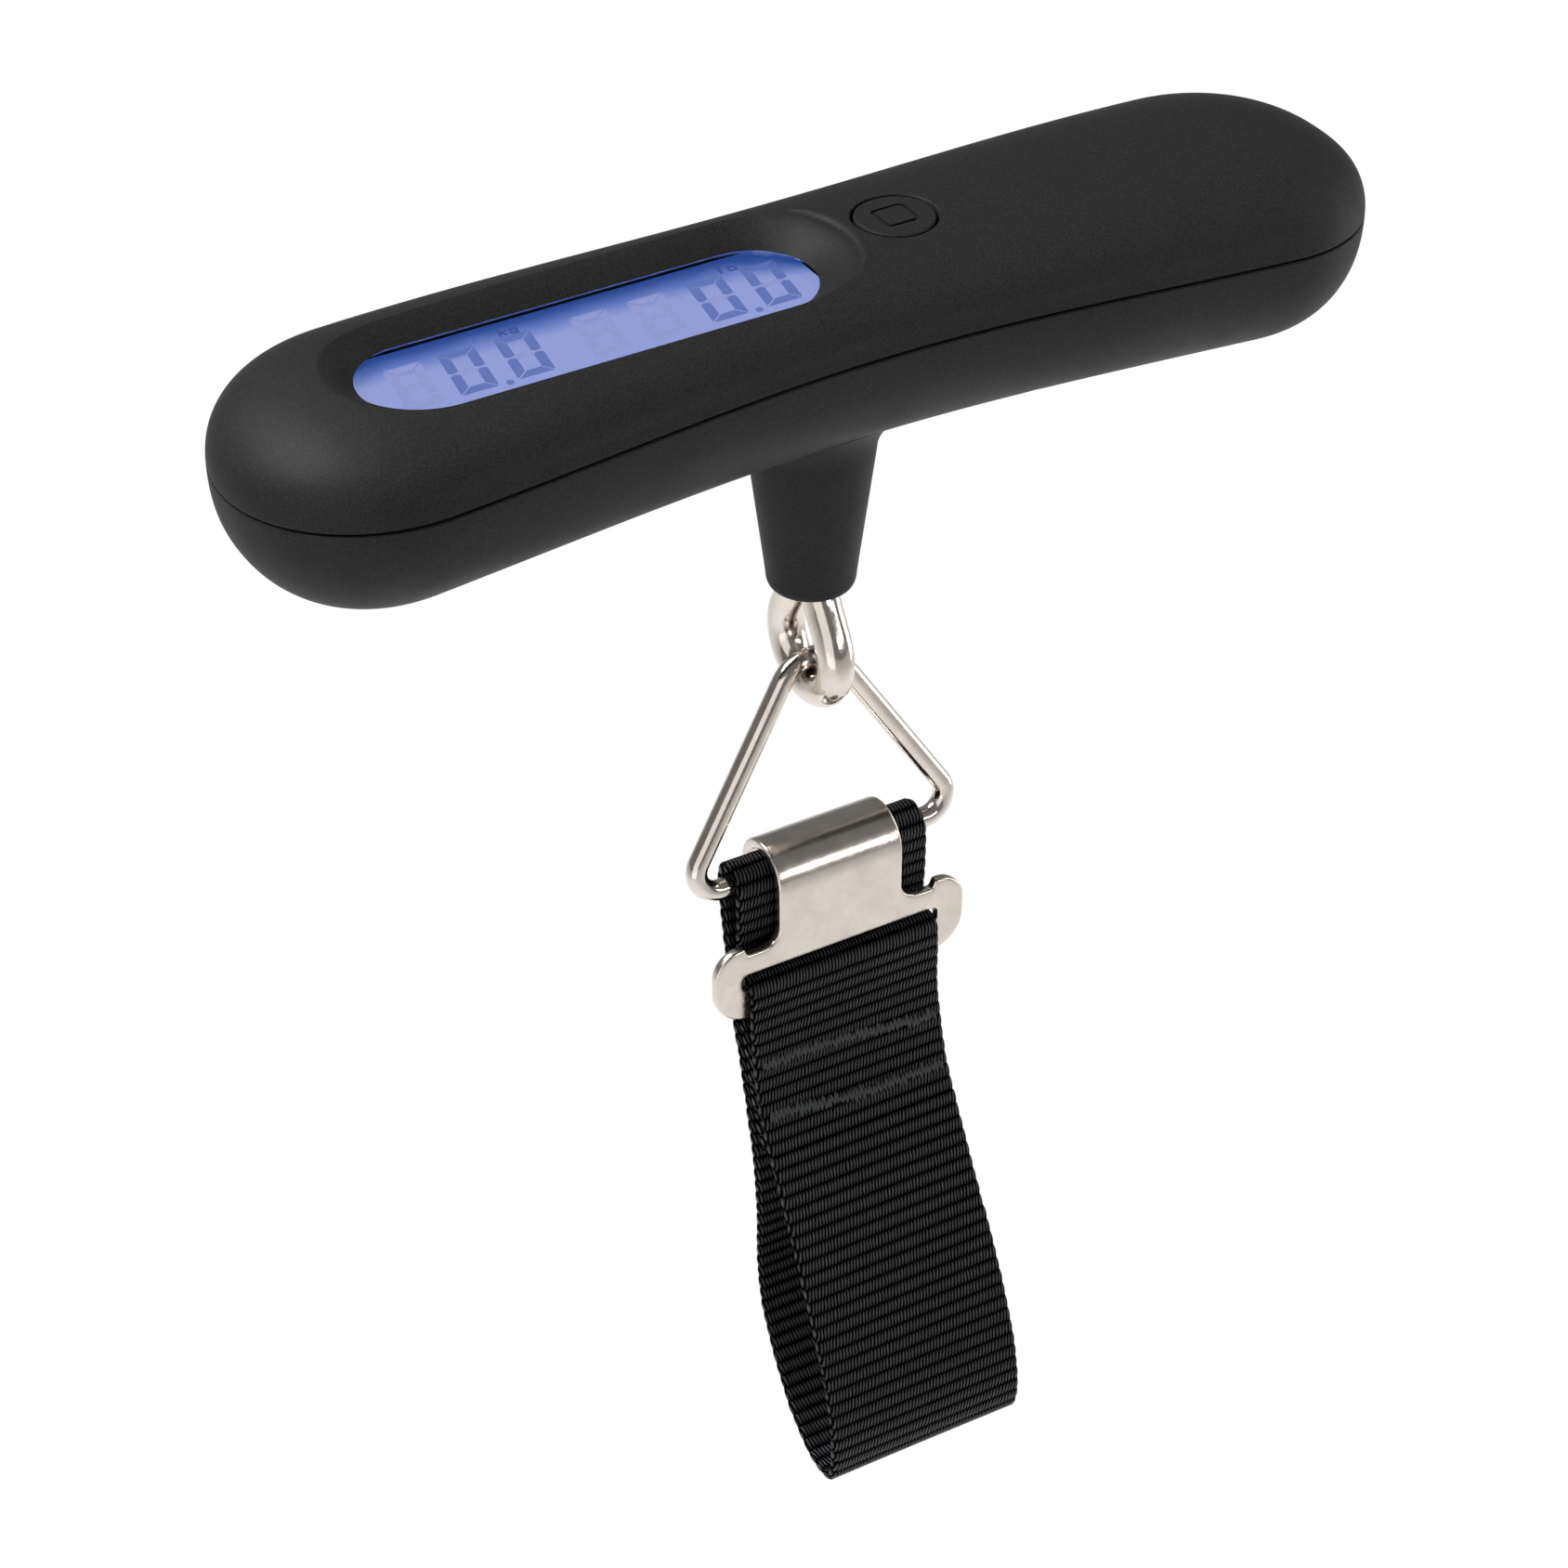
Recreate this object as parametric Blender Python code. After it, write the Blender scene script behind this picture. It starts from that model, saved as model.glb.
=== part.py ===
"""A digital luggage scale: a T-shaped handle with a display and a button, and below its neck an eye link,
a triangle ring, a stamped hook plate and a loop of webbing.

+X runs along the handle, -Y faces the user and +Z is up. The origin is on the neck's axis, level with the
handle's parting line. Every length is in metres; MM turns millimetres into metres.
"""

from math import atan2, cos, hypot, pi, radians, sin

import bmesh
import bpy
from mathutils import Matrix, Vector
from mathutils.geometry import interpolate_bezier

MM = 0.001
GAP = 0.3 * MM  # clearance between pieces that touch on the real object

# Handle: two shells that meet at an arched parting line.
HANDLE_HALF_LENGTH = 67.5 * MM
END_RADIUS = 17.5 * MM
WAIST_HALF_WIDTH = 15.3 * MM
END_HALF_WIDTH = 17.4 * MM
PARTING_SAG = 3.3 * MM  # how far the parting line drops from the middle to the tips
CROWN = 6.6 * MM
CROWN_FALL = 0.9 * MM
BELLY = 15.4 * MM
BELLY_FALL = 3.9 * MM
CROWN_POWER = 2.32
BELLY_POWER = 2.2
WALL = 1.8 * MM
OUTSIDE_STEPS = (44, 40)  # round the handle and along it
INSIDE_STEPS = (28, 28)

# Neck and what hangs in it.
NECK_TOP_RADIUS = 7.4 * MM
NECK_TAPER = 0.126
NECK_BOTTOM = -35.6 * MM
NECK_ROUNDING = 1.4 * MM
BORE_RADIUS = 4.25 * MM
PIN_HEIGHT = -31.5 * MM
PIN_RADIUS = 1.0 * MM

# Display.
DISPLAY_X = -26.1 * MM
DISPLAY_HALF_LENGTH = 25.85 * MM
DISPLAY_HALF_WIDTH = 6.95 * MM
DISPLAY_LEVEL = 3.3 * MM
DISH_WIDTH = 4.2 * MM  # of the shallow dish round the display window
DISH_RISE = 2.6 * MM
LENS_MARGIN = 1.2 * MM
LENS_THICKNESS = 1.3 * MM
PANEL_HALF_SIZE = (26.6 * MM, 8.0 * MM)

# Button.
BUTTON_X = 9.96 * MM
BUTTON_HOLE_RADIUS = 4.66 * MM
BUTTON_ICON_SIZE = 4.1 * MM
BUTTON_FLANGE_RADIUS = 5.5 * MM

# Electronics and load cell.
BOARD_TOP = -2.6 * MM
BOARD_THICKNESS = 1.0 * MM
BOARD_X = (-54 * MM, 18 * MM)
BOARD_HALF_WIDTH = 10.3 * MM
BEAM_X = (-42 * MM, 6 * MM)
BEAM_Z = (-12.4 * MM, -7.9 * MM)
BEAM_HALF_WIDTH = 4.6 * MM
BEAM_SCREWS_X = (-38 * MM, -30 * MM)
CUTOUT_X = (-20 * MM, -11 * MM)
CUTOUT_RADIUS = 1.9 * MM
STUD_RADIUS = 2.0 * MM

# Battery.
BATTERY_X = 37 * MM
CELL_RADIUS = 10.0 * MM
CELL_Z = (-9.0 * MM, -5.8 * MM)
DOOR_HALF_SIZE = (12.0 * MM, 11.2 * MM)

HOUSING_SCREWS = ((-60 * MM, 0.0), (21.5 * MM, -8.4 * MM), (21.5 * MM, 8.4 * MM), (60 * MM, 0.0))
SCREW_SEAT = -8.0 * MM
BOARD_SCREWS = ((14.5 * MM, -7.8 * MM), (14.5 * MM, 7.8 * MM))

# Hanging parts.
LINK_WIRE = 2.1 * MM
LINK_LOOP_RADIUS = 5.4 * MM
LINK_CENTRE_Z = -43.9 * MM
TANG_HALF_WIDTH = 3.2 * MM
RING_WIRE = 1.22 * MM
RING_APEX_Z = LINK_CENTRE_Z - LINK_LOOP_RADIUS + LINK_WIRE + RING_WIRE + 0.1 * MM
BAR_Y = -2.9 * MM
BAR_Z = -71.2 * MM
RING_APEX_RADIUS = 4.6 * MM
RING_CORNER_RADIUS = 2.8 * MM
RING_HALF_WIDTH = 16.3 * MM
WEBBING_THICKNESS = 1.2 * MM
WEBBING_HALF_WIDTH = 12.5 * MM
WRAP_RADIUS = RING_WIRE + 0.28 * MM + WEBBING_THICKNESS / 2
HOOK_THICKNESS = 1.2 * MM
CURL_INNER_RADIUS = 3.2 * MM
CURL_HALF_WIDTH = 8.1 * MM
CURL_CENTRE = (BAR_Y + 0.1 * MM, BAR_Z - 0.2 * MM)
PLATE_Y = CURL_CENTRE[0] - CURL_INNER_RADIUS - HOOK_THICKNESS / 2
PLATE_BOTTOM = -87.5 * MM
SHOULDER_Z = -78.4 * MM
EAR_HALF_WIDTH = 16.5 * MM
SLOT_Z = (-83.2 * MM, -81.3 * MM)
SLOT_HALF_WIDTH = 13.2 * MM
FOLD_RADIUS = 1.5 * MM
SEAM_Z = -104.6 * MM  # where the folded and sewn end of the webbing stops


# ---------------------------------------------------------------- scene, materials and plain tools


def clear_scene():
    for obj in list(bpy.data.objects):
        bpy.data.objects.remove(obj, do_unlink=True)


def new_collection(name):
    collection = bpy.data.collections.new(name)
    bpy.context.scene.collection.children.link(collection)
    return collection


def material(name, colour, roughness, metallic=0.0):
    made = bpy.data.materials.get(name) or bpy.data.materials.new(name)
    made.use_nodes = True
    shader = made.node_tree.nodes["Principled BSDF"]
    shader.inputs["Base Color"].default_value = (*colour, 1.0)
    shader.inputs["Roughness"].default_value = roughness
    shader.inputs["Metallic"].default_value = metallic
    return made


def soft_touch():
    return material("soft_touch_black", (0.02, 0.02, 0.019), 0.6)


def nickel():
    return material("nickel_plate", (0.62, 0.58, 0.54), 0.22, 1.0)


def steel():
    return material("plain_steel", (0.5, 0.5, 0.5), 0.35, 1.0)


def aluminium():
    return material("aluminium", (0.6, 0.61, 0.62), 0.4, 1.0)


def webbing_black():
    return material("webbing_black", (0.012, 0.011, 0.014), 0.85)


def black_plastic():
    return material("black_plastic", (0.025, 0.025, 0.025), 0.45)


def new_object(name, mesh, look, collection=None):
    obj = bpy.data.objects.new(name, mesh)
    (collection or PARTS).objects.link(obj)
    obj.data.materials.clear()
    obj.data.materials.append(look)
    return obj


def mesh_from(name, build):
    """A mesh that the function build fills in, with clean outward normals."""
    shape = bmesh.new()
    build(shape)
    bmesh.ops.remove_doubles(shape, verts=shape.verts, dist=1e-6)
    bmesh.ops.recalc_face_normals(shape, faces=shape.faces)
    mesh = bpy.data.meshes.new(name)
    shape.to_mesh(mesh)
    shape.free()
    return mesh


def shade_round(obj, angle=40):
    obj.data.shade_smooth()
    obj.data.set_sharp_from_angle(angle=radians(angle))
    return obj


def as_cutter(obj):
    for holder in list(obj.users_collection):
        holder.objects.unlink(obj)
    CUTTERS.objects.link(obj)
    obj.hide_render = True
    obj.display_type = "WIRE"
    return obj


def boolean(obj, other, operation, solver="EXACT"):
    """Joins or cuts obj with other, which becomes a hidden helper."""
    as_cutter(other)
    modifier = obj.modifiers.new(other.name, "BOOLEAN")
    modifier.operation = operation
    modifier.solver = solver
    modifier.object = other
    return obj


def solid_from_curve(obj, look):
    """The curve object as a welded mesh object of the same name and place."""
    bpy.context.view_layer.update()
    graph = bpy.context.evaluated_depsgraph_get()
    mesh = bpy.data.meshes.new_from_object(obj.evaluated_get(graph))
    weld = bmesh.new()
    weld.from_mesh(mesh)
    bmesh.ops.remove_doubles(weld, verts=weld.verts, dist=1e-6)
    bmesh.ops.recalc_face_normals(weld, faces=weld.faces)
    weld.to_mesh(mesh)
    weld.free()
    name, place = obj.name, obj.matrix_world.copy()
    bpy.data.objects.remove(obj, do_unlink=True)
    made = new_object(name, mesh, look)
    made.matrix_world = place
    return made


# ---------------------------------------------------------------- flat outlines and turned shapes

PLANES = {
    "XY": Matrix.Identity(4),
    "XZ": Matrix(((1, 0, 0, 0), (0, 0, -1, 0), (0, 1, 0, 0), (0, 0, 0, 1))),
    "YZ": Matrix(((0, 0, 1, 0), (1, 0, 0, 0), (0, 1, 0, 0), (0, 0, 0, 1))),
}


def plate(name, outlines, half_thickness, look, plane="XY", at=(0, 0, 0)):
    """A flat solid of one outline, with any further outlines as holes through it."""
    curve = bpy.data.curves.new(name, "CURVE")
    curve.dimensions = "2D"
    curve.fill_mode = "BOTH"
    curve.extrude = half_thickness
    for outline in outlines:
        spline = curve.splines.new("POLY")
        spline.points.add(len(outline) - 1)
        for point, (u, v) in zip(spline.points, outline):
            point.co = (u, v, 0, 1)
        spline.use_cyclic_u = True
    obj = bpy.data.objects.new(name, curve)
    PARTS.objects.link(obj)
    obj.matrix_world = Matrix.Translation(at) @ PLANES[plane]
    return solid_from_curve(obj, look)


def arc(centre, radius, start, end, steps):
    """Points along an arc, from start to end degrees."""
    angles = [radians(start + (end - start) * step / steps) for step in range(steps + 1)]
    return [(centre[0] + radius * cos(a), centre[1] + radius * sin(a)) for a in angles]


def rounded(corners, steps=5):
    """A closed outline through corners (u, v, radius), each rounded by its own radius."""
    points = []
    count = len(corners)
    for index, (u, v, radius) in enumerate(corners):
        here = Vector((u, v))
        before = (Vector(corners[index - 1][:2]) - here).normalized()
        after = (Vector(corners[(index + 1) % count][:2]) - here).normalized()
        if radius <= 0:
            points.append((u, v))
            continue
        half = before.angle(after) / 2
        centre = here + (before + after).normalized() * (radius / sin(half))
        first = here + before * (radius * cos(half) / sin(half)) - centre
        last = here + after * (radius * cos(half) / sin(half)) - centre
        turn = atan2(first.x * last.y - first.y * last.x, first.dot(last))
        for step in range(steps + 1):
            angle = turn * step / steps
            turned = Vector(
                (first.x * cos(angle) - first.y * sin(angle), first.x * sin(angle) + first.y * cos(angle))
            )
            points.append(tuple(centre + turned))
    return points


def box_outline(u, v, radius=0.0, steps=5):
    """The outline of a rectangle between u[0]..u[1] and v[0]..v[1]."""
    return rounded([(u[0], v[0], radius), (u[1], v[0], radius), (u[1], v[1], radius), (u[0], v[1], radius)], steps)


def circle(centre, radius, steps=24):
    return arc(centre, radius, 0, 360, steps)[:-1]


def stadium(centre, half_length, half_width, steps=12):
    reach = half_length - half_width
    right = arc((centre[0] + reach, centre[1]), half_width, -90, 90, steps)
    left = arc((centre[0] - reach, centre[1]), half_width, 90, 270, steps)
    return right + left


def slab(name, outlines, levels, look):
    """A flat solid between two heights."""
    middle = (levels[0] + levels[1]) / 2
    return plate(name, outlines, (levels[1] - levels[0]) / 2, look, at=(0, 0, middle))


def turned(name, profile, look, centre=(0, 0), steps=32, stretch=0.0):
    """A solid turned from a closed (radius, z) profile, and drawn out along X by stretch if that is given."""

    def build(shape):
        start = [shape.verts.new((radius, 0, z)) for radius, z in profile]
        edges = [shape.edges.new(pair) for pair in zip(start, start[1:])]
        angle = 2 * pi
        offset = Matrix.Rotation(pi / steps, 3, "Z")
        bmesh.ops.rotate(shape, verts=start, matrix=offset)
        bmesh.ops.spin(
            shape, geom=start + edges, cent=(0, 0, 0), axis=(0, 0, 1), angle=angle, steps=steps, use_merge=True
        )
        for vert in shape.verts:
            if hypot(vert.co.x, vert.co.y) > 1e-7:
                vert.co.x += stretch if vert.co.x > 0 else -stretch
        if stretch:
            bmesh.ops.holes_fill(shape, edges=shape.edges, sides=0)

    obj = new_object(name, mesh_from(name, build), look)
    obj.location = (centre[0], centre[1], 0)
    return obj


def cylinder(name, centre, radius, levels, look, steps=24):
    return slab(name, [circle(centre, radius, steps)], levels, look)


def tube(name, points, radius, look, sides=12, closed=True):
    """A round wire along a route of (x, y, z) points."""
    curve = bpy.data.curves.new(name, "CURVE")
    curve.dimensions = "3D"
    curve.bevel_depth = radius
    curve.bevel_resolution = (sides - 4) // 2
    curve.use_fill_caps = True
    spline = curve.splines.new("POLY")
    spline.points.add(len(points) - 1)
    for point, place in zip(spline.points, points):
        point.co = (*place, 1)
    spline.use_cyclic_u = closed
    obj = bpy.data.objects.new(name, curve)
    PARTS.objects.link(obj)
    return solid_from_curve(obj, look)


def smooth_path(knots, steps=6):
    """Points on a smooth curve through knots (u, v, heading in degrees)."""
    points = []
    for (u0, v0, turn0), (u1, v1, turn1) in zip(knots, knots[1:]):
        start, end = Vector((u0, v0)), Vector((u1, v1))
        reach = (end - start).length / 3
        first = start + Vector((cos(radians(turn0)), sin(radians(turn0)))) * reach
        second = end - Vector((cos(radians(turn1)), sin(radians(turn1)))) * reach
        run = interpolate_bezier(start.to_3d(), first.to_3d(), second.to_3d(), end.to_3d(), steps + 1)
        points += [(p.x, p.y) for p in run[: steps if (u1, v1, turn1) != knots[-1] else steps + 1]]
    return points


def band(path, thickness):
    """The closed outline of a band of even thickness along a path."""
    sides = ([], [])
    for index, point in enumerate(path):
        before = Vector(path[max(index - 1, 0)])
        after = Vector(path[min(index + 1, len(path) - 1)])
        along = (after - before).normalized()
        normal = Vector((-along.y, along.x)) * thickness / 2
        sides[0].append(tuple(Vector(point) + normal))
        sides[1].append(tuple(Vector(point) - normal))
    return sides[0] + sides[1][::-1]


# ---------------------------------------------------------------- the handle's own shape


def parting_height(x):
    return -PARTING_SAG * (x / HANDLE_HALF_LENGTH) ** 2


def crown_height(x):
    return CROWN - CROWN_FALL * (x / HANDLE_HALF_LENGTH) ** 2


def belly_height(x):
    return -BELLY - BELLY_FALL * (x / HANDLE_HALF_LENGTH) ** 2


def signed_power(value, power):
    return abs(value) ** power * (1 if value >= 0 else -1)


def section(x, inset):
    """Half width, height above the parting line and depth below it, at x, of the handle or one inset from it."""
    middle = HANDLE_HALF_LENGTH - END_RADIUS
    swell = 0.5 - 0.5 * cos(pi * min(abs(x) / middle, 1.0))
    half_width = WAIST_HALF_WIDTH + (END_HALF_WIDTH - WAIST_HALF_WIDTH) * swell - inset
    past = min(max((abs(x) - middle) / (END_RADIUS - inset), 0.0), 1.0)
    level = parting_height(x)
    rise = (crown_height(x) - level - inset) * (1 - past**CROWN_POWER) ** (1 / CROWN_POWER)
    depth = (level - belly_height(x) - inset) * (1 - past**BELLY_POWER) ** (1 / BELLY_POWER)
    return half_width * (1 - past**2) ** 0.5, rise, depth


def handle_point(along, around, inset):
    """A point of the handle's surface, or of one inset from it. along runs -1..1 from tip to tip."""
    waist_share = 0.55  # of the run from tip to tip, before the round ends
    middle = HANDLE_HALF_LENGTH - END_RADIUS
    if abs(along) <= waist_share:
        x = middle * along / waist_share
    else:
        past = sin((abs(along) - waist_share) / (1 - waist_share) * pi / 2)
        x = (middle + (END_RADIUS - inset) * past) * (1 if along > 0 else -1)
    half_width, rise, depth = section(x, inset)
    across, up = cos(around), sin(around)
    power, height = (CROWN_POWER, rise) if up >= 0 else (BELLY_POWER, depth)
    level = parting_height(x)
    return (x, half_width * signed_power(across, 2 / power), level + height * signed_power(up, 2 / power))


def belly_at(x, y):
    """The height of the belly's outer face at x and y."""
    half_width, _, depth = section(x, 0.0)
    share = min(abs(y) / half_width, 1.0)
    return parting_height(x) - depth * (1 - share**BELLY_POWER) ** (1 / BELLY_POWER)


def handle_body(name, inset, around, along):
    """The whole handle as one closed solid, from a sphere whose poles become the handle's tips."""

    def build(shape):
        bmesh.ops.create_uvsphere(shape, u_segments=around, v_segments=along, radius=1.0)
        for vert in shape.verts:
            x, y, z = vert.co
            share = 1 - 2 * atan2(hypot(x, y), z) / pi
            vert.co = handle_point(share, atan2(y, x) if hypot(x, y) > 1e-6 else 0.0, inset)

    return shade_round(new_object(name, mesh_from(name, build), soft_touch()), 50)


def parting_cutter(name, upward):
    """Everything on one side of the parting line, and half the gap beyond it."""
    reach = 80 * MM
    steps = 32
    rise = GAP / 2 if upward else -GAP / 2
    line = [(-reach + 2 * reach * step / steps) for step in range(steps + 1)]
    edge = [(x, parting_height(x) + rise) for x in line]
    far = -60 * MM if upward else 40 * MM
    return plate(name, [edge + [(reach, far), (-reach, far)]], 40 * MM, soft_touch(), "XZ")


def recess_profile():
    """The display recess: a shallow dish that rises from the window's edge, as (radius, z) from its floor up."""
    dish = [
        (DISPLAY_HALF_WIDTH + DISH_WIDTH * share, DISPLAY_LEVEL + DISH_RISE * (1 - (1 - share) ** 1.7))
        for share in (0.0, 0.2, 0.4, 0.6, 0.8, 1.0)
    ]
    edge = DISPLAY_HALF_WIDTH + DISH_WIDTH
    return [
        (0, DISPLAY_LEVEL - 1.5 * MM),
        (DISPLAY_HALF_WIDTH, DISPLAY_LEVEL - 1.5 * MM),
        *dish,
        (edge + 0.6 * MM, DISPLAY_LEVEL + DISH_RISE + 0.4 * MM),
        (edge + 1.0 * MM, DISPLAY_LEVEL + 5 * MM),
        (0, DISPLAY_LEVEL + 5 * MM),
    ]


def post(name, x, y, levels, radius):
    return cylinder(name, (x, y), radius, levels, soft_touch(), 16)


def upper_shell():
    shell = handle_body("upper_shell", 0.0, *OUTSIDE_STEPS)
    boolean(shell, handle_body("upper_hollow", WALL, *INSIDE_STEPS), "DIFFERENCE")
    boolean(shell, parting_cutter("below_parting", True), "DIFFERENCE")
    skirt = plate(
        "display_skirt",
        [stadium((DISPLAY_X, 0), DISPLAY_HALF_LENGTH + 2.2 * MM, DISPLAY_HALF_WIDTH + 2.2 * MM)],
        0.85 * MM,
        soft_touch(),
        at=(0, 0, DISPLAY_LEVEL + 0.85 * MM),
    )
    boolean(shell, skirt, "UNION")
    for number, (x, y) in enumerate(HOUSING_SCREWS):
        roof = 3.4 * MM
        boss = post(f"upper_boss_{number}", x, y, (parting_height(x) + GAP / 2, roof), 2.6 * MM)
        boolean(shell, boss, "UNION")
        pilot = post(f"pilot_{number}", x, y, (parting_height(x) - 2 * MM, 2.6 * MM), 1.25 * MM)
        boolean(shell, pilot, "DIFFERENCE")
    for number, (x, y) in enumerate(BOARD_SCREWS):
        boolean(shell, post(f"board_boss_{number}", x, y, (BOARD_TOP + GAP, 5.0 * MM), 2.0 * MM), "UNION")
        boolean(shell, post(f"board_pilot_{number}", x, y, (BOARD_TOP - MM, 2.0 * MM), 1.1 * MM), "DIFFERENCE")
    reach = DISPLAY_HALF_LENGTH - DISPLAY_HALF_WIDTH
    recess = turned("display_recess", recess_profile(), soft_touch(), (DISPLAY_X, 0), 36, stretch=reach)
    boolean(shell, recess, "DIFFERENCE")
    hole = cylinder("button_hole", (BUTTON_X, 0), BUTTON_HOLE_RADIUS, (0, 12 * MM), soft_touch(), 40)
    return boolean(shell, hole, "DIFFERENCE")


def neck_radius(z):
    return NECK_TOP_RADIUS + NECK_TAPER * (z + BELLY)


def neck():
    """The tapered neck, with a small fillet into the belly and a rounded lower edge."""
    fillet = 1.8 * MM
    top = -BELLY - 0.1 * MM
    flare = [
        (neck_radius(top) + fillet * (1 - sin(radians(angle))), top - fillet * (1 - cos(radians(angle))) * 1.3)
        for angle in (10, 30, 50, 70, 90)
    ]
    edge = neck_radius(NECK_BOTTOM + NECK_ROUNDING)
    inner = edge - 0.5 * NECK_ROUNDING
    foot = [
        (
            inner + (edge - inner) * cos(radians(angle)),
            NECK_BOTTOM + NECK_ROUNDING * (1 - sin(radians(angle))),
        )
        for angle in (0, 20, 40, 60, 90)
    ]
    root = top + 1.2 * MM
    profile = [(0, root), (flare[0][0], root), *flare, *foot, (0, NECK_BOTTOM)]
    obj = turned("neck", profile, soft_touch(), steps=40)
    for vert in obj.data.vertices:
        share = min(max((vert.co.z - top + 3 * MM) / (3 * MM), 0.0), 1.0)
        vert.co.z += share * (belly_at(0, vert.co.y) + BELLY)
    return obj


def lower_shell():
    shell = handle_body("lower_shell", 0.0, *OUTSIDE_STEPS)
    boolean(shell, handle_body("lower_hollow", WALL, *INSIDE_STEPS), "DIFFERENCE")
    boolean(shell, parting_cutter("above_parting", False), "DIFFERENCE")
    boolean(shell, neck(), "UNION")
    bore = [
        (0, -7 * MM),
        (5.2 * MM, -7 * MM),
        (5.2 * MM, -17 * MM),
        (BORE_RADIUS, -26 * MM),
        (BORE_RADIUS, -38 * MM),
        (0, -38 * MM),
    ]
    boolean(shell, turned("neck_bore", bore, soft_touch(), steps=32), "DIFFERENCE")
    pad_x = (BEAM_SCREWS_X[0] - 4 * MM, BEAM_SCREWS_X[1] + 4 * MM)
    pad_top = BEAM_Z[0] - GAP
    pad = slab("beam_pad", [box_outline(pad_x, (-5.5 * MM, 5.5 * MM))], (-15 * MM, pad_top), soft_touch())
    boolean(shell, pad, "UNION")
    for number, x in enumerate(BEAM_SCREWS_X):
        boolean(shell, post(f"pad_hole_{number}", x, 0, (-14.7 * MM, -10 * MM), 1.55 * MM), "DIFFERENCE")
    for number, (x, y) in enumerate(HOUSING_SCREWS):
        rim = circle((x, y), 2.8 * MM, 12)
        foot = max(belly_at(*place) for place in rim) + 0.5 * MM
        levels = (foot, parting_height(x) - GAP / 2)
        boolean(shell, post(f"lower_post_{number}", x, y, levels, 2.8 * MM), "UNION", "MANIFOLD")
        sunk = post(f"counterbore_{number}", x, y, (-30 * MM, SCREW_SEAT), 2.2 * MM)
        boolean(shell, sunk, "DIFFERENCE", "MANIFOLD")
        through = post(f"clearance_{number}", x, y, (-12 * MM, 2 * MM), 1.25 * MM)
        boolean(shell, through, "DIFFERENCE", "MANIFOLD")
    return boolean(shell, door_blank("door_opening", 0.0), "DIFFERENCE", "MANIFOLD")


def door_blank(name, shrink):
    half_x, half_y = DOOR_HALF_SIZE[0] - shrink, DOOR_HALF_SIZE[1] - shrink
    outline = box_outline(
        (BATTERY_X - half_x, BATTERY_X + half_x), (-half_y, half_y), 2.5 * MM - shrink, 4
    )
    return slab(name, [outline], (-25 * MM, -10.2 * MM), soft_touch())


def battery_door():
    """A hatch cut from the belly's own wall, so that it closes flush."""
    door = handle_body("battery_door", 0.0, *OUTSIDE_STEPS)
    boolean(door, handle_body("door_hollow", WALL, *INSIDE_STEPS), "DIFFERENCE")
    boolean(door, door_blank("door_edge", GAP), "INTERSECT")
    for side in (-1, 1):
        y = sorted((side * 3 * MM, side * 4.2 * MM))
        rib = [box_outline((BATTERY_X - 6 * MM, BATTERY_X + 6 * MM), y)]
        boolean(door, slab(f"door_rib_{side}", rib, (-15 * MM, CELL_Z[0] - GAP), soft_touch()), "UNION")
    return door


# ---------------------------------------------------------------- display, button and electronics


def display():
    lens_top = DISPLAY_LEVEL - GAP
    outline = stadium((DISPLAY_X, 0), DISPLAY_HALF_LENGTH + LENS_MARGIN, DISPLAY_HALF_WIDTH + LENS_MARGIN)
    glass = material("clear_lens", (0.75, 0.8, 1.0), 0.05)
    slab("display_window", [outline], (lens_top - LENS_THICKNESS, lens_top), glass)
    size = ((DISPLAY_X - PANEL_HALF_SIZE[0], DISPLAY_X + PANEL_HALF_SIZE[0]), (-PANEL_HALF_SIZE[1], PANEL_HALF_SIZE[1]))
    top = lens_top - LENS_THICKNESS - GAP
    lcd = material("lcd_blue", (0.16, 0.22, 0.75), 0.2)
    slab("lcd_glass", [box_outline(*size, 0.5 * MM, 2)], (top - 1.1 * MM, top), lcd)
    light = material("light_guide", (0.7, 0.75, 0.95), 0.4)
    slab("lcd_backlight", [box_outline(*size, 0.5 * MM, 2)], (BOARD_TOP + GAP, top - 1.1 * MM - GAP), light)


def elastomer_strip():
    rubber = material("grey_elastomer", (0.15, 0.15, 0.16), 0.7)
    y = (PANEL_HALF_SIZE[1] + GAP, PANEL_HALF_SIZE[1] + 1.7 * MM)
    x = (DISPLAY_X - 20 * MM, DISPLAY_X + 20 * MM)
    slab("elastomer_connector", [box_outline(x, y)], (BOARD_TOP + GAP, 0.4 * MM), rubber)


def button():
    """The cap, whose top is part of the crown, with a flange that keeps it in."""
    top = handle_body("button_cap", 0.0, *OUTSIDE_STEPS)
    blank = cylinder("button_blank", (BUTTON_X, 0), BUTTON_HOLE_RADIUS - GAP, (3.6 * MM, 9 * MM), soft_touch(), 40)
    boolean(top, blank, "INTERSECT")
    flange_levels = (3.0 * MM, 4.2 * MM)
    flange = cylinder("button_flange", (BUTTON_X, 0), BUTTON_FLANGE_RADIUS, flange_levels, soft_touch(), 32)
    boolean(top, flange, "UNION")
    half = BUTTON_ICON_SIZE / 2
    line = 0.45 * MM
    outer = box_outline((BUTTON_X - half, BUTTON_X + half), (-half, half), 0.8 * MM, 3)
    inner = box_outline((BUTTON_X - half + line, BUTTON_X + half - line), (-half + line, half - line), 0.4 * MM, 3)
    mark = slab("button_mark", [outer, inner], (CROWN - 0.28 * MM, CROWN + 2 * MM), soft_touch())
    boolean(top, mark, "DIFFERENCE")
    cylinder("switch_plunger", (BUTTON_X, 0), 1.5 * MM, (-0.1 * MM, 2.7 * MM), black_plastic(), 16)


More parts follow.
